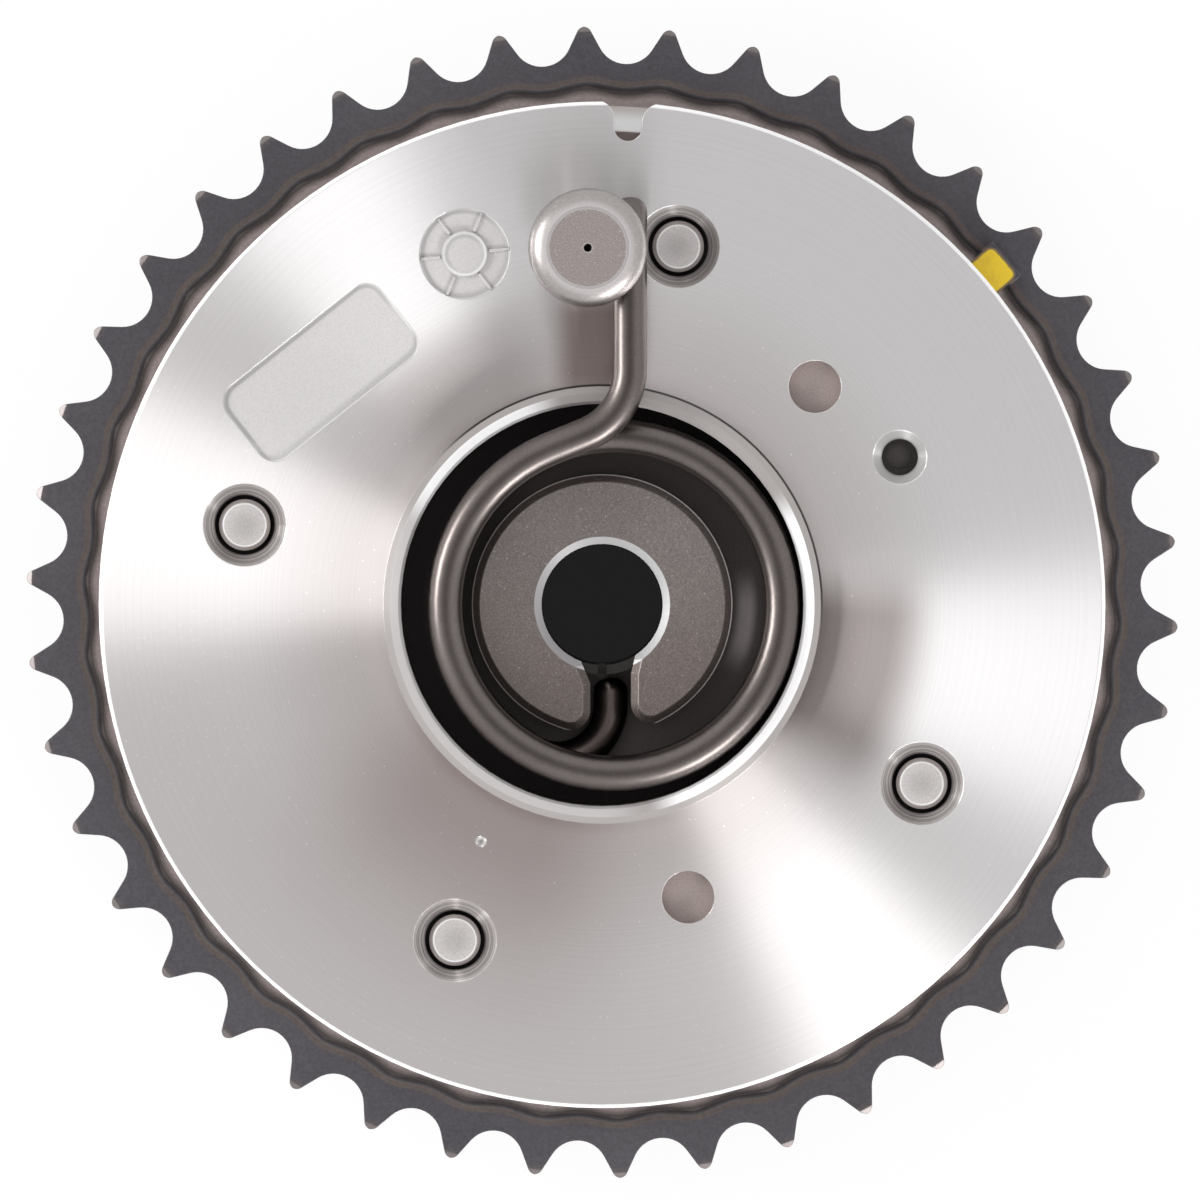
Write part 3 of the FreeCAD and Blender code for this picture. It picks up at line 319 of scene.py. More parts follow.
def insidePlate(tree, point, plate):
    # how far inside a turned plate with rounded corners a point lies, below zero outside
    x, y, turn, halfLength, halfWidth, corner = plate
    shifted = addNode(tree, "ShaderNodeVectorMath", operation="SUBTRACT")
    feed(tree, shifted.inputs[0], point)
    shifted.inputs[1].default_value = (x, y, 0)
    turned = addNode(tree, "ShaderNodeVectorRotate", rotation_type="Z_AXIS")
    feed(tree, turned.inputs["Vector"], shifted.outputs[0])
    turned.inputs["Angle"].default_value = -turn
    parts = addNode(tree, "ShaderNodeSeparateXYZ")
    feed(tree, parts.inputs[0], turned.outputs[0])
    squares = []
    for value, half in ((parts.outputs[0], halfLength), (parts.outputs[1], halfWidth)):
        past = maths(tree, "SUBTRACT", maths(tree, "ABSOLUTE", value), half - corner)
        past = maths(tree, "MAXIMUM", past, 0.0)
        squares.append(maths(tree, "MULTIPLY", past, past))
    return maths(tree, "SUBTRACT", corner, maths(tree, "SQRT", maths(tree, "ADD", *squares)))


def sideLight(tree, point, x, y):
    # 0 at the upper left of a place, 1 at its lower right
    parts = addNode(tree, "ShaderNodeSeparateXYZ")
    feed(tree, parts.inputs[0], point)
    lean = maths(tree, "SUBTRACT", maths(tree, "SUBTRACT", parts.outputs[0], x),
                 maths(tree, "SUBTRACT", parts.outputs[1], y))
    return span(tree, lean, -1.2 * mm, 1.2 * mm)


def turnedSteel(name, settings):
    material, tree, shader = newMaterial(name)
    point = objectPoint(tree)
    radius, height, turn = cylindrical(tree, point)
    rings = addNode(tree, "ShaderNodeTexNoise", noise_dimensions="1D")
    feed(tree, rings.inputs["Scale"], 1.0)
    feed(tree, rings.inputs["Detail"], 4.0)
    feed(tree, rings.inputs["W"], maths(tree, "MULTIPLY", radius, settings["ringScale"]))
    groove = rings.outputs["Fac"]
    # the face: pale, browner near the collar and low on the left
    parts = addNode(tree, "ShaderNodeSeparateXYZ")
    feed(tree, parts.inputs[0], point)
    lean = maths(tree, "ADD", maths(tree, "MULTIPLY", parts.outputs[0], 6.0),
                 maths(tree, "MULTIPLY", parts.outputs[1], 9.0))
    cloud = maths(tree, "MULTIPLY", maths(tree, "SUBTRACT", noise(tree, point, 24.0, 2.0), 0.5), 0.8)
    tone = span(tree, maths(tree, "ADD", lean, cloud), -0.45, 0.25)
    face = mix(tree, tone, settings["brown"], settings["bright"])
    inner = maths(tree, "SUBTRACT", 1.0, span(tree, radius, *settings["innerSpan"]))
    face = mix(tree, inner, face, mix(tree, 1.0, face, settings["innerShade"], "MULTIPLY"))
    lines = ramp(tree, groove, [(0.3, grey(0.95)), (0.7, grey(1.0))])
    face = mix(tree, 1.0, face, lines, "MULTIPLY")
    # sparse bright stars: painted glints
    stars = span(tree, noise(tree, point, 3000.0, 0.0), 0.815, 0.84)
    face = mix(tree, maths(tree, "MULTIPLY", stars, 0.8), face, grey(1.0))
    # painted sparkle: fine bright dots where the left fan of light falls
    cells = addNode(tree, "ShaderNodeTexVoronoi")
    feed(tree, cells.inputs["Vector"], point)
    feed(tree, cells.inputs["Scale"], settings["dotScale"])
    feed(tree, cells.inputs["Randomness"], 0.55)
    dots = maths(tree, "SUBTRACT", 1.0, span(tree, cells.outputs["Distance"], 0.07, 0.13))
    dots = maths(tree, "MULTIPLY", dots, band(tree, radius, *settings["dotRing"]))
    dots = maths(tree, "MULTIPLY", dots, arcMask(tree, turn, *settings["dotArc"]))
    face = mix(tree, maths(tree, "MULTIPLY", dots, 0.75), face, grey(1.0))
    # painted shadow across the fans beside the collar, and a browner darkening low on the left
    for angle, half, soft, (near, far), tint in settings["darkPatches"]:
        within = maths(tree, "SUBTRACT", 1.0, span(tree, radius, near, far))
        darkPatch = maths(tree, "MULTIPLY", band(tree, turn, angle, half, soft), within)
        face = mix(tree, darkPatch, face, mix(tree, 1.0, face, tint, "MULTIPLY"))
    shadow = maths(tree, "MULTIPLY", band(tree, parts.outputs[0], *settings["tailShadeAcross"]),
                   band(tree, parts.outputs[1], *settings["tailShadeUp"]))
    face = mix(tree, shadow, face, mix(tree, 1.0, face, settings["tailShade"], "MULTIPLY"))
    # below the face: shallow floors, tool holes, screw recesses, vent
    depth = maths(tree, "SUBTRACT", faceHeight, height)
    grain = noise(tree, point, 5200.0, 3.0)
    floorRamp = span(tree, grain, 0.35, 0.65)
    dimpleAway = awayFrom(tree, point, [dimpleCentre])
    onDimple = maths(tree, "SUBTRACT", 1.0, span(tree, dimpleAway, *settings["dimpleSpan"]))
    dialAway = awayFrom(tree, point, [dialCentre])
    hubEdge = settings["dialHub"] + 0.05 * mm
    onDialHub = maths(tree, "SUBTRACT", 1.0, span(tree, dialAway, settings["dialHub"], hubEdge))
    below = maths(tree, "MAXIMUM", span(tree, depth, 0.02 * mm, 0.10 * mm), onDialHub)
    deep = maths(tree, "MULTIPLY", span(tree, depth, *settings["toolSpan"]),
                 maths(tree, "SUBTRACT", 1.0, onDimple))
    screwAway = awayFrom(tree, point, screwCentres)
    nearScrew = maths(tree, "SUBTRACT", 1.0, span(tree, screwAway, *settings["recessReach"]))
    ventAway = awayFrom(tree, point, [ventCentre])
    nearVent = maths(tree, "SUBTRACT", 1.0, span(tree, ventAway, *settings["ventReach"]))
    shallow = mix(tree, floorRamp, settings["shallowFloor"], settings["shallowGrain"])
    shade = mix(tree, below, face, shallow)
    # borders of the dial and the label: painted highlight on the lower right, painted shadow within on the
    # upper left
    labelInside = insidePlate(tree, point, settings["label"])
    dialInside = maths(tree, "SUBTRACT", settings["dialRadius"], dialAway)
    hubInside = maths(tree, "SUBTRACT", settings["dialHub"] - 0.15 * mm, dialAway)
    places = ((labelInside, settings["label"][:2]), (dialInside, dialCentre), (hubInside, dialCentre))
    for inside, (x, y) in places:
        side = sideLight(tree, point, x, y)
        shadowLine = maths(tree, "MULTIPLY", band(tree, inside, *settings["shadowBand"]),
                         maths(tree, "MULTIPLY_ADD", side, -0.75, 0.9))
        shade = mix(tree, shadowLine, shade, settings["borderShadow"])
        highlightLine = maths(tree, "MULTIPLY", band(tree, inside, *settings["highlightBand"]),
                          maths(tree, "MULTIPLY_ADD", side, 0.5, 0.4))
        shade = mix(tree, highlightLine, shade, settings["borderHighlight"])
    shade = mix(tree, deep, shade, mix(tree, floorRamp, settings["toolFloor"], settings["toolGrain"]))
    turnedRings = addNode(tree, "ShaderNodeTexNoise", noise_dimensions="1D")
    feed(tree, turnedRings.inputs["Scale"], 5200.0)
    feed(tree, turnedRings.inputs["Detail"], 1.0)
    feed(tree, turnedRings.inputs["W"], depth)
    coneRings = span(tree, turnedRings.outputs["Fac"], 0.35, 0.65)
    cone = mix(tree, coneRings, settings["coneDark"], settings["coneLight"])
    # painted shade down the relief below the cone
    recess = mix(tree, span(tree, depth, *settings["coneSpan"]), cone, settings["reliefShade"])
    inRecess = maths(tree, "MULTIPLY", nearScrew, span(tree, depth, 0.03 * mm, 0.09 * mm))
    shade = mix(tree, inRecess, shade, recess)
    # painted shade down the vent's hole
    vent = mix(tree, span(tree, depth, *settings["ventSpan"]), settings["ventMouth"], settings["ventShade"])
    shade = mix(tree, maths(tree, "MULTIPLY", nearVent, below), shade, vent)
    # the collar: a flat with painted light arcs inside a satin bevel, and a painted shadow line at its foot
    collar = span(tree, height, *settings["collarSpan"])
    flat = maths(tree, "SUBTRACT", 1.0, span(tree, radius, *settings["collarFlat"]))
    onFlat = maths(tree, "MULTIPLY", flat, collar)
    shade = mix(tree, collar, shade, settings["collarSatin"])
    # painted light on the collar's flat
    for middle, half, colour in settings["collarLitArcs"]:
        arc = maths(tree, "MULTIPLY", onFlat, arcMask(tree, turn, middle, half))
        shade = mix(tree, arc, shade, colour)
    # painted shadow at the collar's foot
    foot = maths(tree, "MULTIPLY", band(tree, radius, *settings["footRing"]),
                 maths(tree, "LESS_THAN", height, settings["footTop"]))
    foot = maths(tree, "MULTIPLY", foot, arcMask(tree, turn, *settings["footLine"]))
    shade = mix(tree, maths(tree, "MULTIPLY", foot, 0.85), shade, grey(0.03))
    # painted highlight on the bevel round the edge, grey side
    edge = span(tree, radius, *settings["edgeSpan"])
    upper = span(tree, height, *settings["edgeTop"])
    shade = mix(tree, edge, shade, mix(tree, upper, settings["side"], grey(1.0)))
    feed(tree, shader.inputs["Base Color"], shade)
    matt = maths(tree, "MAXIMUM", below, collar)
    feed(tree, shader.inputs["Metallic"], maths(tree, "MULTIPLY_ADD", matt, -0.75, 1.0))
    shader.inputs["Anisotropic"].default_value = settings["anisotropic"]
    flatPoint = addNode(tree, "ShaderNodeVectorMath", operation="MULTIPLY")
    flatPoint.inputs[1].default_value = (1, 1, 0)
    feed(tree, flatPoint.inputs[0], point)
    outward = addNode(tree, "ShaderNodeVectorMath", operation="NORMALIZE")
    feed(tree, outward.inputs[0], flatPoint.outputs[0])
    feed(tree, shader.inputs["Tangent"], outward.outputs[0])
    rough = maths(tree, "MULTIPLY_ADD", groove, 0.06, settings["roughness"] - 0.03)
    feed(tree, shader.inputs["Roughness"], mixNumber(tree, below, rough, 0.55))
    relief = maths(tree, "ADD", groove, maths(tree, "MULTIPLY", maths(tree, "MULTIPLY", grain, below), 2.0))
    bump(tree, shader, relief, 0.08, 0.02 * mm, softEdges(tree, settings["edgeWear"]))
    return material


# speckle: grain per metre, darkest and brightest grains, share of bright stars painted as glints

hubSpeckle = {"grain": 7800.0, "pore": 0.78, "glint": 1.30, "stars": 0.28}
postSpeckle = {"grain": 6000.0, "pore": 0.88, "glint": 1.14, "stars": 0.2}
flatSpeckle = {"grain": 8200.0, "pore": 0.77, "glint": 1.23}
wireSpeckle = {"grain": 5200.0, "pore": 0.90, "glint": 1.10, "stars": 0.0}


def powderSteel(name, dark, light, roughness, settings):
    # sintered steel: soft clouds under a fine speckle
    material, tree, shader = newMaterial(name)
    point = objectPoint(tree)
    cloud = noise(tree, point, 60.0, 2.0)
    shade, stars, fine = speckle(tree, point, settings)
    base = mix(tree, 1.0, ramp(tree, cloud, [(0.3, dark), (0.7, light)]), shade, "MULTIPLY")
    # painted glints: a share of the stars lifted to pale grey
    base = mix(tree, maths(tree, "MULTIPLY", stars, settings["stars"]), base, grey(0.9))
    feed(tree, shader.inputs["Base Color"], base)
    shader.inputs["Metallic"].default_value = 1.0
    feed(tree, shader.inputs["Roughness"], maths(tree, "MULTIPLY_ADD", fine, 0.16, roughness - 0.08))
    bump(tree, shader, fine, 0.25, 0.012 * mm)
    return material, tree, shader, base


hubSettings = {
    "dark": (0.235, 0.20, 0.187),
    "light": (0.275, 0.24, 0.225),
    "roughness": 0.48,
    # painted light on its far side, and the places between which it comes in
    "farTint": (1.12, 1.17, 1.20),
    "farSpan": (-8 * mm, 9 * mm),
    # painted shade on the bevel below the top, and a painted highlight on the edge beyond it
    "bevelShade": (0.50, 0.485, 0.48),
    "bevelSpan": (31.40 * mm, 31.46 * mm),
    "edgeHighlight": (0.88, 0.85, 0.84),
    "edgeHighlightSpan": (12.14 * mm, 12.22 * mm),
    # ring at the bore's mouth, painted pale for the light it reflects and darker on its shaded left, and
    # painted shade on the walls of bore and slot
    "mouthSpan": (6.36 * mm, 6.44 * mm),
    "mouthLow": (30.6 * mm, 30.75 * mm),
    "ringShadedLeft": (0.44, 0.43, 0.43),
    "ringLitRight": grey(0.66),
    "ringAcross": (-6 * mm, 6 * mm),
    "wall": (0.10, 0.093, 0.090),
    "wallTop": (30.9 * mm, 31.05 * mm),
}


def hubSteel(settings):
    # speckled hub with painted light: a pale ring at the mouth of its bore for the light it reflects, painted
    # shade on the bevel and a painted highlight on the outer edge
    material, tree, shader, base = powderSteel("hubSteel", settings["dark"], settings["light"],
                                               settings["roughness"], hubSpeckle)
    point = objectPoint(tree)
    radius, height = cylindrical(tree, point)[:2]
    parts = addNode(tree, "ShaderNodeSeparateXYZ")
    feed(tree, parts.inputs[0], point)
    # painted light: the far side lighter
    upper = span(tree, parts.outputs[1], *settings["farSpan"])
    base = mix(tree, upper, base, mix(tree, 1.0, base, settings["farTint"], "MULTIPLY"))
    # painted shade on the bevel
    bevel = maths(tree, "SUBTRACT", 1.0, span(tree, height, *settings["bevelSpan"]))
    base = mix(tree, bevel, base, mix(tree, 1.0, base, settings["bevelShade"], "MULTIPLY"))
    # painted highlight on the outer edge
    edgeHighlight = span(tree, radius, *settings["edgeHighlightSpan"])
    base = mix(tree, edgeHighlight, base, settings["edgeHighlight"])
    # the mouth's ring painted pale for the light it reflects, darker on its shaded left
    mouth = maths(tree, "SUBTRACT", 1.0, span(tree, radius, *settings["mouthSpan"]))
    top = span(tree, height, *settings["mouthLow"])
    ring = maths(tree, "MULTIPLY", mouth, top)
    # painted shade on the walls of bore and slot, below the top
    low = span(tree, height, *settings["wallTop"])
    across = span(tree, parts.outputs[0], *settings["ringAcross"])
    ringTone = mix(tree, across, settings["ringShadedLeft"], settings["ringLitRight"])
    shade = mix(tree, ring, mix(tree, low, settings["wall"], base), ringTone)
    feed(tree, shader.inputs["Base Color"], shade)
    feed(tree, shader.inputs["Metallic"], mixNumber(tree, ring, 1.0, 0.35))
    return material


rotorSettings = {
    "dark": (0.15, 0.138, 0.136),
    "light": (0.19, 0.175, 0.172),
    "roughness": 0.45,
    "gap": (0.06, 0.056, 0.056),
    "gapSpan": (15.0 * mm, 17.2 * mm),
    # painted highlight at the right of the hub: angle and radius with half width and fading
    "highlightPatch": (0.55, 0.53, 0.525),
    "patchTurn": (-0.12, 0.10, 0.30),
    "patchRing": (13.6 * mm, 0.3 * mm, 1.0 * mm),
}


def rotorSteel(settings):
    # dark floor under the spring, with painted shade making it black in the gap outside the turns
    material, tree, shader, base = powderSteel("rotorSteel", settings["dark"], settings["light"],
                                               settings["roughness"], wireSpeckle)
    radius, _, turn = cylindrical(tree, objectPoint(tree))
    # painted shade: black in the gap outside the turns
    shade = mix(tree, span(tree, radius, *settings["gapSpan"]), base, settings["gap"])
    # painted highlight on the floor at the right of the hub
    highlightPatch = maths(tree, "MULTIPLY", band(tree, turn, *settings["patchTurn"]),
                  band(tree, radius, *settings["patchRing"]))
    feed(tree, shader.inputs["Base Color"], mix(tree, highlightPatch, shade, settings["highlightPatch"]))
    return material


postSettings = {
    "dark": (0.345, 0.32, 0.312),
    "light": (0.39, 0.365, 0.356),
    "roughness": 0.36,
    "flat": (0.60, 0.54, 0.522),
    "flatSpan": (3.56 * mm, 3.66 * mm),
    "pale": (0.70, 0.675, 0.665),
    "paleSpan": (3.85 * mm, 4.6 * mm),
    # painted highlight lines round the flat, and a painted highlight halo round the dark centre mark
    "lines": [3.66 * mm, 3.98 * mm],
    "lineWidth": (0.03 * mm, 0.06 * mm),
    "halo": (0.46 * mm, 0.02 * mm, 0.05 * mm),
    "dotSpan": (0.36 * mm, 0.42 * mm),
}


def postSteel(settings):
    # satin turned head: brown speckled flat, pale rounded rim, painted highlight lines and halo, and a dark
    # centre mark painted as the shade in its centre-drill hole
    material, tree, shader, base = powderSteel("postSteel", settings["dark"], settings["light"],
                                               settings["roughness"], postSpeckle)
    point = objectPoint(tree)
    away = awayFrom(tree, point, [postCentre])
    flat = maths(tree, "SUBTRACT", 1.0, span(tree, away, *settings["flatSpan"]))
    shade, stars, _ = speckle(tree, point, flatSpeckle)
    brown = mix(tree, 1.0, settings["flat"], shade, "MULTIPLY")
    # painted glints on the flat
    brown = mix(tree, maths(tree, "MULTIPLY", stars, 0.6), brown, grey(0.95))
    around = maths(tree, "SUBTRACT", 1.0, span(tree, away, *settings["paleSpan"]))
    colour = mix(tree, around, base, settings["pale"])
    colour = mix(tree, flat, colour, brown)
    # painted highlight lines round the flat
    for place in settings["lines"]:
        line = band(tree, away, place, *settings["lineWidth"])
        colour = mix(tree, maths(tree, "MULTIPLY", line, 0.45), colour, grey(0.92))
    # painted highlight halo round the centre mark
    halo = band(tree, away, *settings["halo"])
    colour = mix(tree, maths(tree, "MULTIPLY", halo, 0.7), colour, grey(0.85))
    # the centre-drill hole, not modelled, painted as a dark dot for the shade inside it
    dot = maths(tree, "SUBTRACT", 1.0, span(tree, away, *settings["dotSpan"]))
    colour = mix(tree, dot, colour, grey(0.01))
    feed(tree, shader.inputs["Base Color"], colour)
    return material


sprocketSettings = {
    "waves": 42,
    "firstWave": math.radians(6.1),
    "edge": 48.65 * mm,
    "waveHeight": 0.25 * mm,
    "plateHeight": 12.7 * mm,
    "ringDark": (0.118, 0.113, 0.128),
    "ringLight": (0.158, 0.152, 0.168),
    # places beyond the wavy edge: painted shade at the foot, brown line, painted shade on the shoulder's
    # fringe, the rougher edge
    "foot": (0.070, 0.062, 0.063),
    "footSpan": (0.05 * mm, 0.48 * mm),
    "line": (0.180, 0.152, 0.142),
    "lineBand": (0.68 * mm, 0.14 * mm, 0.26 * mm),
    "shoulder": (0.40, 0.345, 0.335),
    "shoulderEdge": (0.075, 0.065, 0.063),
    "fringeSpan": (-1.05 * mm, -0.20 * mm),
    "dullBand": (0.0, 0.30 * mm, 0.30 * mm),
    "padSpan": (0.25 * mm, 0.45 * mm),
    "tip": (0.21, 0.185, 0.175),
    "tipSpan": (53.4 * mm, 54.5 * mm),
    "edgeWear": 0.12 * mm,
}


def sprocketSteel(settings):
    # dark oxide on the tooth ring, brown turned metal on the wavy shoulder with painted shade at its edge,
    # lighter towards the tooth tips
    material, tree, shader = newMaterial("sprocketSteel")
    point = objectPoint(tree)
    radius, height, turn = cylindrical(tree, point)
    phase = maths(tree, "MULTIPLY", maths(tree, "SUBTRACT", turn, settings["firstWave"]), settings["waves"])
    wave = maths(tree, "COSINE", phase)
    edge = maths(tree, "MULTIPLY_ADD", wave, settings["waveHeight"], settings["edge"])
    beyond = maths(tree, "SUBTRACT", radius, edge)
    cloud = noise(tree, point, 45.0, 2.0)
    grain = noise(tree, point, 3400.0, 2.0, 0.6)
    ring = ramp(tree, cloud, [(0.25, settings["ringDark"]), (0.75, settings["ringLight"])])
    line = band(tree, beyond, *settings["lineBand"])
    ring = mix(tree, line, ring, settings["line"])
    # painted shade at the foot of the shoulder
    foot = maths(tree, "SUBTRACT", 1.0, span(tree, beyond, *settings["footSpan"]))
    ring = mix(tree, foot, ring, settings["foot"])
    # lighter towards the tooth tips
    towardsTips = maths(tree, "MULTIPLY", span(tree, radius, *settings["tipSpan"]), 0.9)
    ring = mix(tree, towardsTips, ring, settings["tip"])
    # painted shade on the shoulder's fringe
    fringe = span(tree, beyond, *settings["fringeSpan"])
    shoulder = mix(tree, fringe, settings["shoulder"], settings["shoulderEdge"])
    onTop = span(tree, height, settings["plateHeight"] - 0.3 * mm, settings["plateHeight"])
    # the low pad under the timing mark is dark like the ring
    offPad = maths(tree, "SUBTRACT", 1.0, span(tree, beyond, *settings["padSpan"]))
    onTop = maths(tree, "MULTIPLY", onTop, offPad)
    shade = mix(tree, onTop, ring, shoulder)
    dots = ramp(tree, grain, [(0.35, grey(0.9)), (0.65, grey(1.06))])
    feed(tree, shader.inputs["Base Color"], mix(tree, 1.0, shade, dots, "MULTIPLY"))
    shader.inputs["Metallic"].default_value = 0.85
    atEdge = band(tree, beyond, *settings["dullBand"])
    rough = maths(tree, "MULTIPLY_ADD", grain, 0.14, 0.36)
    feed(tree, shader.inputs["Roughness"], mixNumber(tree, atEdge, rough, 0.75))
    bump(tree, shader, grain, 0.2, 0.01 * mm, softEdges(tree, settings["edgeWear"]))
    return material


def drawnSteel(name, dark, light, roughness):
    # smooth drawn or ground steel with a faint grain
    material, tree, shader = newMaterial(name)
    point = objectPoint(tree)
    cloud = noise(tree, point, 90.0, 2.0)
    shade, _, fine = speckle(tree, point, wireSpeckle)
    base = mix(tree, 1.0, ramp(tree, cloud, [(0.3, dark), (0.7, light)]), shade, "MULTIPLY")
    feed(tree, shader.inputs["Base Color"], base)
    shader.inputs["Metallic"].default_value = 1.0
    feed(tree, shader.inputs["Roughness"], maths(tree, "MULTIPLY_ADD", cloud, 0.08, roughness - 0.04))
    bump(tree, shader, fine, 0.15, 0.008 * mm)
    return material, tree, shader, base


wireSettings = {
    "dark": (0.128, 0.111, 0.105),
    "light": (0.158, 0.139, 0.132),
    "roughness": 0.34,
    # painted light: the low turns are brightened against the shade there
    "deepLift": (1.75, 1.70, 1.68),  # offsets the darkness low in its room
    "deepSpan": (26.0 * mm, 34.5 * mm),
}


def springSteel(settings):
    # oil-tempered wire
    material, tree, shader, base = drawnSteel("springSteel", settings["dark"], settings["light"],
                                              settings["roughness"])
    height = cylindrical(tree, objectPoint(tree))[1]
    # painted light low in the room
    deep = maths(tree, "SUBTRACT", 1.0, span(tree, height, *settings["deepSpan"]))
    shade = mix(tree, deep, base, mix(tree, 1.0, base, settings["deepLift"], "MULTIPLY"))
    feed(tree, shader.inputs["Base Color"], shade)
    return material


screwSettings = {
    "dark": (0.54, 0.515, 0.505),
    "light": (0.68, 0.655, 0.645),
    "roughness": 0.34,
    "centreTint": grey(0.80),
    "centreSpan": (0.3 * mm, 1.9 * mm),
    "thread": (0.42, 0.385, 0.372),
    "threadSpan": (2.04 * mm, 2.12 * mm),
    "lip": (2.0 * mm, 0.03 * mm, 0.08 * mm),
    "metallic": 0.45,
}


def screwSteel(settings):
    # end face, darker at the centre, with a painted highlight round its edge, inside a darker chamfer and
    # thread
    material, tree, shader, base = drawnSteel("screwSteel", settings["dark"], settings["light"],
                                              settings["roughness"])
    point = objectPoint(tree)
    away = awayFrom(tree, point, screwCentres)
    centre = mix(tree, 1.0, base, settings["centreTint"], "MULTIPLY")
    base = mix(tree, span(tree, away, *settings["centreSpan"]), centre, base)
    outside = span(tree, away, *settings["threadSpan"])
    colour = mix(tree, outside, base, settings["thread"])
    # painted highlight round the end face's edge
    lip = band(tree, away, *settings["lip"])
    colour = mix(tree, maths(tree, "MULTIPLY", lip, 0.85), colour, grey(0.98))
    feed(tree, shader.inputs["Base Color"], colour)
    shader.inputs["Metallic"].default_value = settings["metallic"]
    return material


statorSettings = {
    "dark": (0.34, 0.30, 0.29),
    "light": (0.38, 0.34, 0.33),
    "roughness": 0.42,
    "slopeSpan": (44.6 * mm, 44.75 * mm),
    "slopeInner": grey(0.60),
    "slopeOuter": (0.40, 0.365, 0.355),
    "slopeFade": (45.5 * mm, 47.0 * mm),
}


def statorSteel(settings):
    # bright turned chamfer round a brown flat face
    material, tree, shader, base = powderSteel("statorSteel", settings["dark"], settings["light"],
                                               settings["roughness"], postSpeckle)
    radius = cylindrical(tree, objectPoint(tree))[0]
    slope = span(tree, radius, *settings["slopeSpan"])
    fade = span(tree, radius, *settings["slopeFade"])
    turned = mix(tree, fade, settings["slopeInner"], settings["slopeOuter"])
    feed(tree, shader.inputs["Base Color"], mix(tree, slope, base, turned))
    return material


markSettings = {
    "angle": math.radians(6.1 + 4 * 360 / 42),
    "halfWidth": 1.95 * mm,
    "corner": 0.8 * mm,
    "reach": 50.1 * mm,
    "border": 0.22 * mm,
    "wobble": 0.16 * mm,
    "colour": (0.83, 0.585, 0.026),
    "worn": (0.74, 0.51, 0.030),
    "edge": (0.20, 0.14, 0.07),
}


def markPaint(settings):
    # matt yellow paint with a brown dried edge
    material, tree, shader = newMaterial("markPaint")
    point = objectPoint(tree)
    turned = addNode(tree, "ShaderNodeVectorRotate", rotation_type="Z_AXIS")
    feed(tree, turned.inputs["Vector"], point)
    turned.inputs["Angle"].default_value = -settings["angle"]
    parts = addNode(tree, "ShaderNodeSeparateXYZ")
    feed(tree, parts.inputs[0], turned.outputs[0])
    aside = maths(tree, "ABSOLUTE", parts.outputs[1])
    ripple = maths(tree, "SUBTRACT", noise(tree, point, 1400.0, 2.0), 0.5)
    wobble = maths(tree, "MULTIPLY", ripple, settings["wobble"])
    # distance to the border, which has rounded corners
    corner = settings["corner"]
    pastSide = maths(tree, "SUBTRACT", aside, settings["halfWidth"] - corner)
    pastSide = maths(tree, "MAXIMUM", pastSide, 0.0)
    pastEnd = maths(tree, "SUBTRACT", parts.outputs[0], settings["reach"] - corner)
    pastEnd = maths(tree, "MAXIMUM", pastEnd, 0.0)
    square = maths(tree, "ADD", maths(tree, "MULTIPLY", pastSide, pastSide),
                   maths(tree, "MULTIPLY", pastEnd, pastEnd))
    gap = maths(tree, "ADD", maths(tree, "SUBTRACT", corner, maths(tree, "SQRT", square)), wobble)
    inside = span(tree, gap, settings["border"] * 0.6, settings["border"] * 1.3)
    blotch = noise(tree, point, 700.0, 3.0)
    colour = ramp(tree, blotch, [(0.3, settings["worn"]), (0.5, settings["colour"])])
    feed(tree, shader.inputs["Base Color"], mix(tree, inside, settings["edge"], colour))
    shader.inputs["Roughness"].default_value = 0.55
    bump(tree, shader, blotch, 0.3, 0.02 * mm)
    return material


def sealPolymer():
    material, tree, shader = newMaterial("sealPolymer")
    point = objectPoint(tree)
    fibre = noise(tree, point, 2200.0, 3.0)
    colour = ramp(tree, fibre, [(0.3, (0.030, 0.026, 0.022)), (0.7, (0.055, 0.047, 0.040))])
    feed(tree, shader.inputs["Base Color"], colour)
    shader.inputs["Roughness"].default_value = 0.48
    bump(tree, shader, fibre, 0.3, 0.02 * mm)
    return material


def wear(node, material):
    data = nodes[node].data
    data.materials.clear()
    data.materials.append(material)


finishes = {
    "sprocket": sprocketSteel(sprocketSettings),
    "stator": statorSteel(statorSettings),
    "cover_plate": turnedSteel("coverSteel", coverSettings),
    "rotor": rotorSteel(rotorSettings),
    "spring_hub": hubSteel(hubSettings),
    "locating_sleeve": drawnSteel("sleeveSteel", (0.060, 0.056, 0.055), (0.085, 0.080, 0.078), 0.38)[0],
    "torsion_spring": springSteel(wireSettings),
    "spring_post": postSteel(postSettings),
    "lock_pin": drawnSteel("pinSteel", (0.40, 0.39, 0.38), (0.50, 0.49, 0.48), 0.25)[0],
    "lock_plug": drawnSteel("plugMetal", (0.16, 0.15, 0.148), (0.22, 0.21, 0.205), 0.34)[0],
    "lock_spring": drawnSteel("lockSpringSteel", (0.35, 0.34, 0.33), (0.42, 0.41, 0.40), 0.30)[0],
    "lock_bushing": drawnSteel("bushingSteel", (0.38, 0.37, 0.36), (0.46, 0.45, 0.44), 0.30)[0],
    "timing_mark": markPaint(markSettings),
}
screwFinish = screwSteel(screwSettings)
sealFinish = sealPolymer()
leafFinish = drawnSteel("leafSteel", (0.40, 0.40, 0.39), (0.50, 0.50, 0.49), 0.28)[0]
for name in nodes:
    if name.startswith("screw_"):
        wear(name, screwFinish)
    elif name.endswith("_leaf"):
        wear(name, leafFinish)
    elif "_seal_" in name:
        wear(name, sealFinish)
    else:
        wear(name, finishes[name])
print("materials made:", len(bpy.data.materials))


# torsion spring, one smooth wire

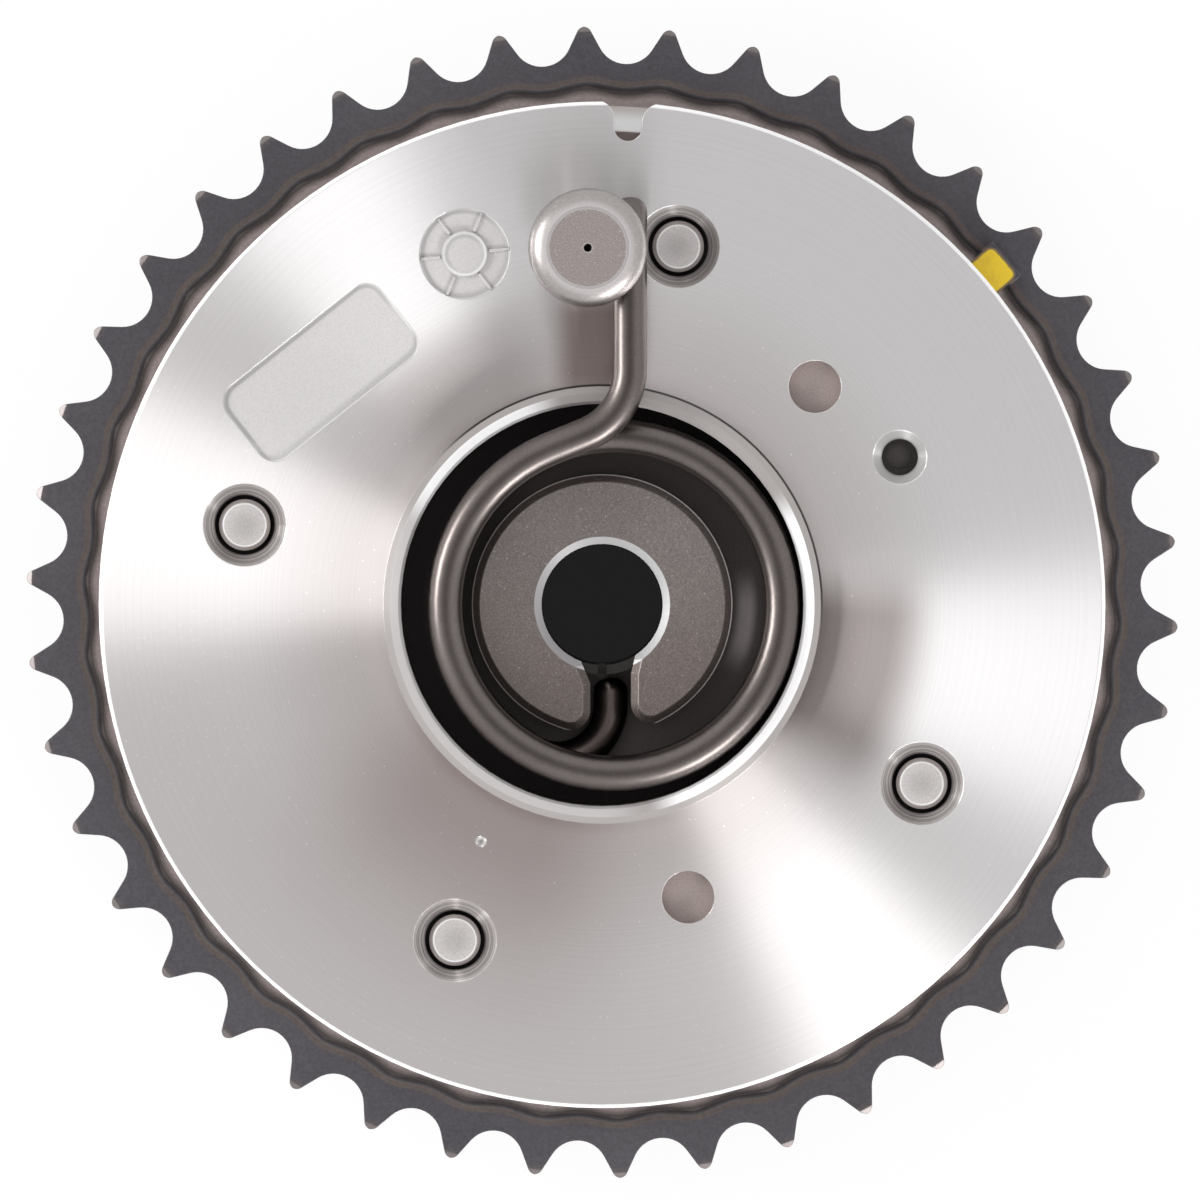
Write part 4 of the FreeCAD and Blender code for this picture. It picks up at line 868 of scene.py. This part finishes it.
springSettings = {
    "wireRadius": 1.6 * mm,
    "coilRadius": 15.9 * mm,
    "coilOffset": 1.1 * mm,
    "startAngle": 112.0,
    "sweep": 1203.0,
    "tailX": 2.63 * mm,
    "tailEnd": 38.4 * mm,
    "tailHeight": 37.2 * mm,
    "tailBend": 6.6 * mm,
    "lowHeight": 24.87 * mm,
    "legX": 0.8 * mm,
    "legBend": 5.0 * mm,
    "legEnd": -6.95 * mm,
    "sides": 24,
    "stepsPerTurn": 60,
    "endBevel": 1.35 * mm,
    "endSteps": 5,
}


def wireRing(bm, place, settings):
    # the wire's round section, which faces along Y
    turned = Matrix.Translation(place) @ Matrix.Rotation(math.radians(90), 4, "X")
    bmesh.ops.create_circle(bm, segments=settings["sides"], radius=settings["wireRadius"], matrix=turned)
    return list(bm.edges)


def spinRing(bm, edges, centre, degrees, drop, steps):
    result = bmesh.ops.spin(bm, geom=edges, cent=centre, axis=zAxis, dvec=Vector((0, 0, drop / steps)),
                            angle=math.radians(degrees), steps=steps, use_merge=False)
    return [item for item in result["geom_last"] if isinstance(item, bmesh.types.BMEdge)]


def pushRing(bm, edges, shift):
    result = bmesh.ops.extrude_edge_only(bm, edges=edges)
    bmesh.ops.translate(bm, verts=[v for v in result["geom"] if isinstance(v, bmesh.types.BMVert)], vec=shift)
    return [item for item in result["geom"] if isinstance(item, bmesh.types.BMEdge)
            and item.is_boundary]


def closeEnds(bm, settings):
    bmesh.ops.remove_doubles(bm, verts=bm.verts, dist=0.001 * mm)
    rims = [edge for edge in bm.edges if edge.is_boundary]
    caps = bmesh.ops.holes_fill(bm, edges=rims, sides=settings["sides"])["faces"]
    bmesh.ops.bevel(bm, geom=[edge for face in caps for edge in face.edges], offset=settings["endBevel"],
                    affect="EDGES", segments=settings["endSteps"], profile=0.5, material=-1)


def fixedOrder(item):
    # spin keeps its vertices' order in each run but not its faces' or edges', so these go by their vertices
    numbers = sorted(v.index for v in item.verts)
    return numbers[0] + numbers[1] / 1e4 + numbers[-1] / 1e8


def addPiece(bm, name, material):
    bmesh.ops.recalc_face_normals(bm, faces=bm.faces)
    bm.verts.index_update()
    bm.edges.sort(key=fixedOrder)
    bm.faces.sort(key=fixedOrder)
    mesh = bpy.data.meshes.new(name)
    bm.to_mesh(mesh)
    bm.free()
    mesh.shade_smooth()
    mesh.materials.append(material)
    piece = bpy.data.objects.new(name, mesh)
    scene.collection.objects.link(piece)
    return piece


def onCircle(centre, radius, degrees):
    turn = math.radians(degrees)
    return centre + Vector((radius * math.cos(turn), radius * math.sin(turn), 0))


def makeSpring(settings):
    bm = bmesh.new()
    edges = wireRing(bm, (settings["tailX"], settings["tailEnd"], settings["tailHeight"]), settings)
    # tail: straight in, then one bend
    start = settings["startAngle"]
    coilCentre = Vector((settings["coilOffset"], 0, 0))
    joinPoint = onCircle(coilCentre, settings["coilRadius"], start)
    ahead = Vector((-math.sin(math.radians(start)), math.cos(math.radians(start)), 0))
    corner = joinPoint + ahead * ((settings["tailX"] - joinPoint.x) / ahead.x)
    tailTurn = 180 - start
    reach = settings["tailBend"] * math.tan(math.radians(tailTurn / 2))
    bendY = corner.y + reach
    for _ in range(4):
        edges = pushRing(bm, edges, Vector((0, (bendY - settings["tailEnd"]) / 4, 0)))
    edges = spinRing(bm, edges, Vector((settings["tailX"] - settings["tailBend"], bendY, 0)),
                     -tailTurn, 0.0, 12)
    gap = (corner - joinPoint).length - reach
    edges = pushRing(bm, edges, ahead * gap)
    # turns: down and round
    steps = round(settings["sweep"] * settings["stepsPerTurn"] / 360)
    edges = spinRing(bm, edges, coilCentre, settings["sweep"],
                     settings["lowHeight"] - settings["tailHeight"], steps)
    # inner leg: one bend into the hub's slot
    last = start + settings["sweep"]
    endPoint = onCircle(coilCentre, settings["coilRadius"], last)
    ahead = Vector((-math.sin(math.radians(last)), math.cos(math.radians(last)), 0))
    corner = endPoint + ahead * ((settings["legX"] - endPoint.x) / ahead.x)
    legTurn = 90 - math.degrees(math.atan2(ahead.y, ahead.x))
    reach = settings["legBend"] * math.tan(math.radians(legTurn / 2))
    edges = pushRing(bm, edges, ahead * ((corner - endPoint).length - reach))
    edges = spinRing(bm, edges, Vector((settings["legX"] - settings["legBend"], corner.y + reach, 0)),
                     legTurn, 0.0, 18)
    edges = pushRing(bm, edges, Vector((0, settings["legEnd"] - (corner.y + reach), 0)))
    closeEnds(bm, settings)
    piece = addPiece(bm, "torsionSpring", finishes["torsion_spring"])
    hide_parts("torsion_spring")
    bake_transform(piece)


makeSpring(springSettings)
print("spring wound")


# lock spring, which is pressed together between the pin's floor and the plug

lockSpringSettings = {
    "wireRadius": 0.35 * mm,
    "turns": 5,
    "floorGap": 0.03 * mm,
    "sides": 12,
    "stepsPerTurn": 36,
    "endBevel": 0.12 * mm,
    "endSteps": 2,
}


def makeLockSpring(settings):
    low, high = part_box("lock_spring")
    wire = settings["wireRadius"]
    middle = Vector(((low.x + high.x) / 2, (low.y + high.y) / 2, low.z + wire + settings["floorGap"]))
    coilRadius = (high.y - low.y) / 2 - wire
    bm = bmesh.new()
    edges = wireRing(bm, middle + Vector((coilRadius, 0, 0)), settings)
    top = high.z - wire - settings["floorGap"]
    steps = settings["turns"] * settings["stepsPerTurn"]
    spinRing(bm, edges, middle, 360 * settings["turns"], top - middle.z, steps)
    closeEnds(bm, settings)
    piece = addPiece(bm, "lockSpring", finishes["lock_spring"])
    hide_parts("lock_spring")
    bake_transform(piece)


makeLockSpring(lockSpringSettings)
print("lock spring wound")


# dial: six raised ticks between the recess's wall and its plain centre

dialSettings = {
    "centre": dialCentre,
    "inner": 2.30 * mm,
    "outer": 4.22 * mm,
    "width": 0.30 * mm,
    "low": 33.66 * mm,  # sunk a little into the floor
    "high": 33.90 * mm,
    "soft": 0.09 * mm,
    "angles": [7, 67, 127, 187, 247, 307],
}


def makeDial(settings):
    bm = bmesh.new()
    length = settings["outer"] - settings["inner"]
    tall = settings["high"] - settings["low"]
    for angle in settings["angles"]:
        made = bmesh.ops.create_cube(bm, size=1.0)["verts"]
        bmesh.ops.scale(bm, verts=made, vec=(length, settings["width"], tall))
        bmesh.ops.translate(bm, verts=made, vec=((settings["inner"] + settings["outer"]) / 2, 0, 0))
        bmesh.ops.rotate(bm, verts=made, cent=(0, 0, 0), matrix=Matrix.Rotation(math.radians(angle), 3, "Z"))
    top = [edge for edge in bm.edges if all(v.co.z > 0 for v in edge.verts)]
    bmesh.ops.bevel(bm, geom=top, offset=settings["soft"], affect="EDGES",
                    segments=3, profile=0.5, material=-1)
    centre = Vector((*settings["centre"], (settings["low"] + settings["high"]) / 2))
    bmesh.ops.translate(bm, verts=bm.verts, vec=centre)
    piece = addPiece(bm, "dialTicks", finishes["cover_plate"])
    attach(piece, "housing")


makeDial(dialSettings)
print("dial ticks raised")


# studio: pale floor, soft world that is dim overhead, two lamps beside the cover

studioSettings = {
    # height of the ray, from level (0) to straight up (1), and what it sees there
    "sky": [
        (0.0, (0.96, 0.957, 0.96)),
        (0.5, (1.12, 1.117, 1.12)),
        (0.80, (1.04, 1.035, 1.04)),
        (0.93, (0.57, 0.55, 0.548)),
        (0.99, (0.28, 0.26, 0.258)),
    ],
    "floorColour": (0.90, 0.90, 0.90),
    "floorGlow": 0.93,
    "floorSize": 3.0,
    # painted shade: the floor under the bore is made dark, and boreGlow is a faint painted glow there
    "boreShade": 20 * mm,  # the ground under the boss, seen through the bore, is dark
    "boreGlow": 0.0150,
    "lamps": [
        # azimuth, elevation, distance, width, height, watts
        (170.0, 24.0, 0.60, 0.28, 0.13, 2.4),
        (304.5, 24.0, 0.60, 0.21, 0.13, 2.0),
    ],
}


def makeWorld(settings):
    world = bpy.data.worlds.new("studio")
    scene.world = world
    world.use_nodes = True
    tree = world.node_tree
    ray = addNode(tree, "ShaderNodeTexCoord").outputs["Generated"]
    parts = addNode(tree, "ShaderNodeSeparateXYZ")
    feed(tree, parts.inputs[0], ray)
    feed(tree, tree.nodes["Background"].inputs["Color"], ramp(tree, parts.outputs["Z"], settings["sky"]))


def makeFloor(settings):
    bm = bmesh.new()
    bmesh.ops.create_grid(bm, x_segments=1, y_segments=1, size=settings["floorSize"] / 2)
    mesh = bpy.data.meshes.new("floor")
    bm.to_mesh(mesh)
    bm.free()
    floor = bpy.data.objects.new("floor", mesh)
    scene.collection.objects.link(floor)
    material, tree, shader = newMaterial("floorPaper")
    point = objectPoint(tree)
    # painted shade under the bore, with a faint painted glow
    outside = span(tree, cylindrical(tree, point)[0], settings["boreShade"], settings["boreShade"] + 1 * mm)
    feed(tree, shader.inputs["Base Color"], mix(tree, outside, grey(0.004), settings["floorColour"]))
    shader.inputs["Roughness"].default_value = 0.9
    feed(tree, shader.inputs["Specular IOR Level"], 0.2)
    glow = addNode(tree, "ShaderNodeEmission")
    path = addNode(tree, "ShaderNodeLightPath")
    seen = maths(tree, "ADD", path.outputs["Is Camera Ray"], path.outputs["Is Glossy Ray"])
    seen = maths(tree, "ADD", seen, path.outputs["Is Transmission Ray"])
    share = maths(tree, "MULTIPLY", maths(tree, "MINIMUM", seen, 1.0), settings["floorGlow"])
    mixed = addNode(tree, "ShaderNodeMixShader")
    feed(tree, glow.inputs["Color"], mix(tree, outside, grey(settings["boreGlow"]), grey(1.0)))
    feed(tree, mixed.inputs[0], share)
    tree.links.new(shader.outputs[0], mixed.inputs[1])
    tree.links.new(glow.outputs[0], mixed.inputs[2])
    tree.links.new(mixed.outputs[0], tree.nodes["Material Output"].inputs["Surface"])
    mesh.materials.append(material)


def makeLamps(settings):
    for index, (azimuth, elevation, distance, width, height, watts) in enumerate(settings["lamps"], start=1):
        data = bpy.data.lights.new("lamp%d" % index, "AREA")
        data.shape = "RECTANGLE"
        data.size = width
        data.size_y = height
        data.energy = watts
        lamp = bpy.data.objects.new("lamp%d" % index, data)
        scene.collection.objects.link(lamp)
        flat = math.cos(math.radians(elevation))
        turn = math.radians(azimuth)
        away = Vector((flat * math.cos(turn), flat * math.sin(turn), math.sin(math.radians(elevation))))
        lamp.location = away * distance + Vector((0, 0, 30 * mm))
        lamp.rotation_euler = away.to_track_quat("Z", "Y").to_euler()


makeWorld(studioSettings)
makeFloor(studioSettings)
makeLamps(studioSettings)
scene.view_settings.view_transform = "Standard"
print("studio lit")
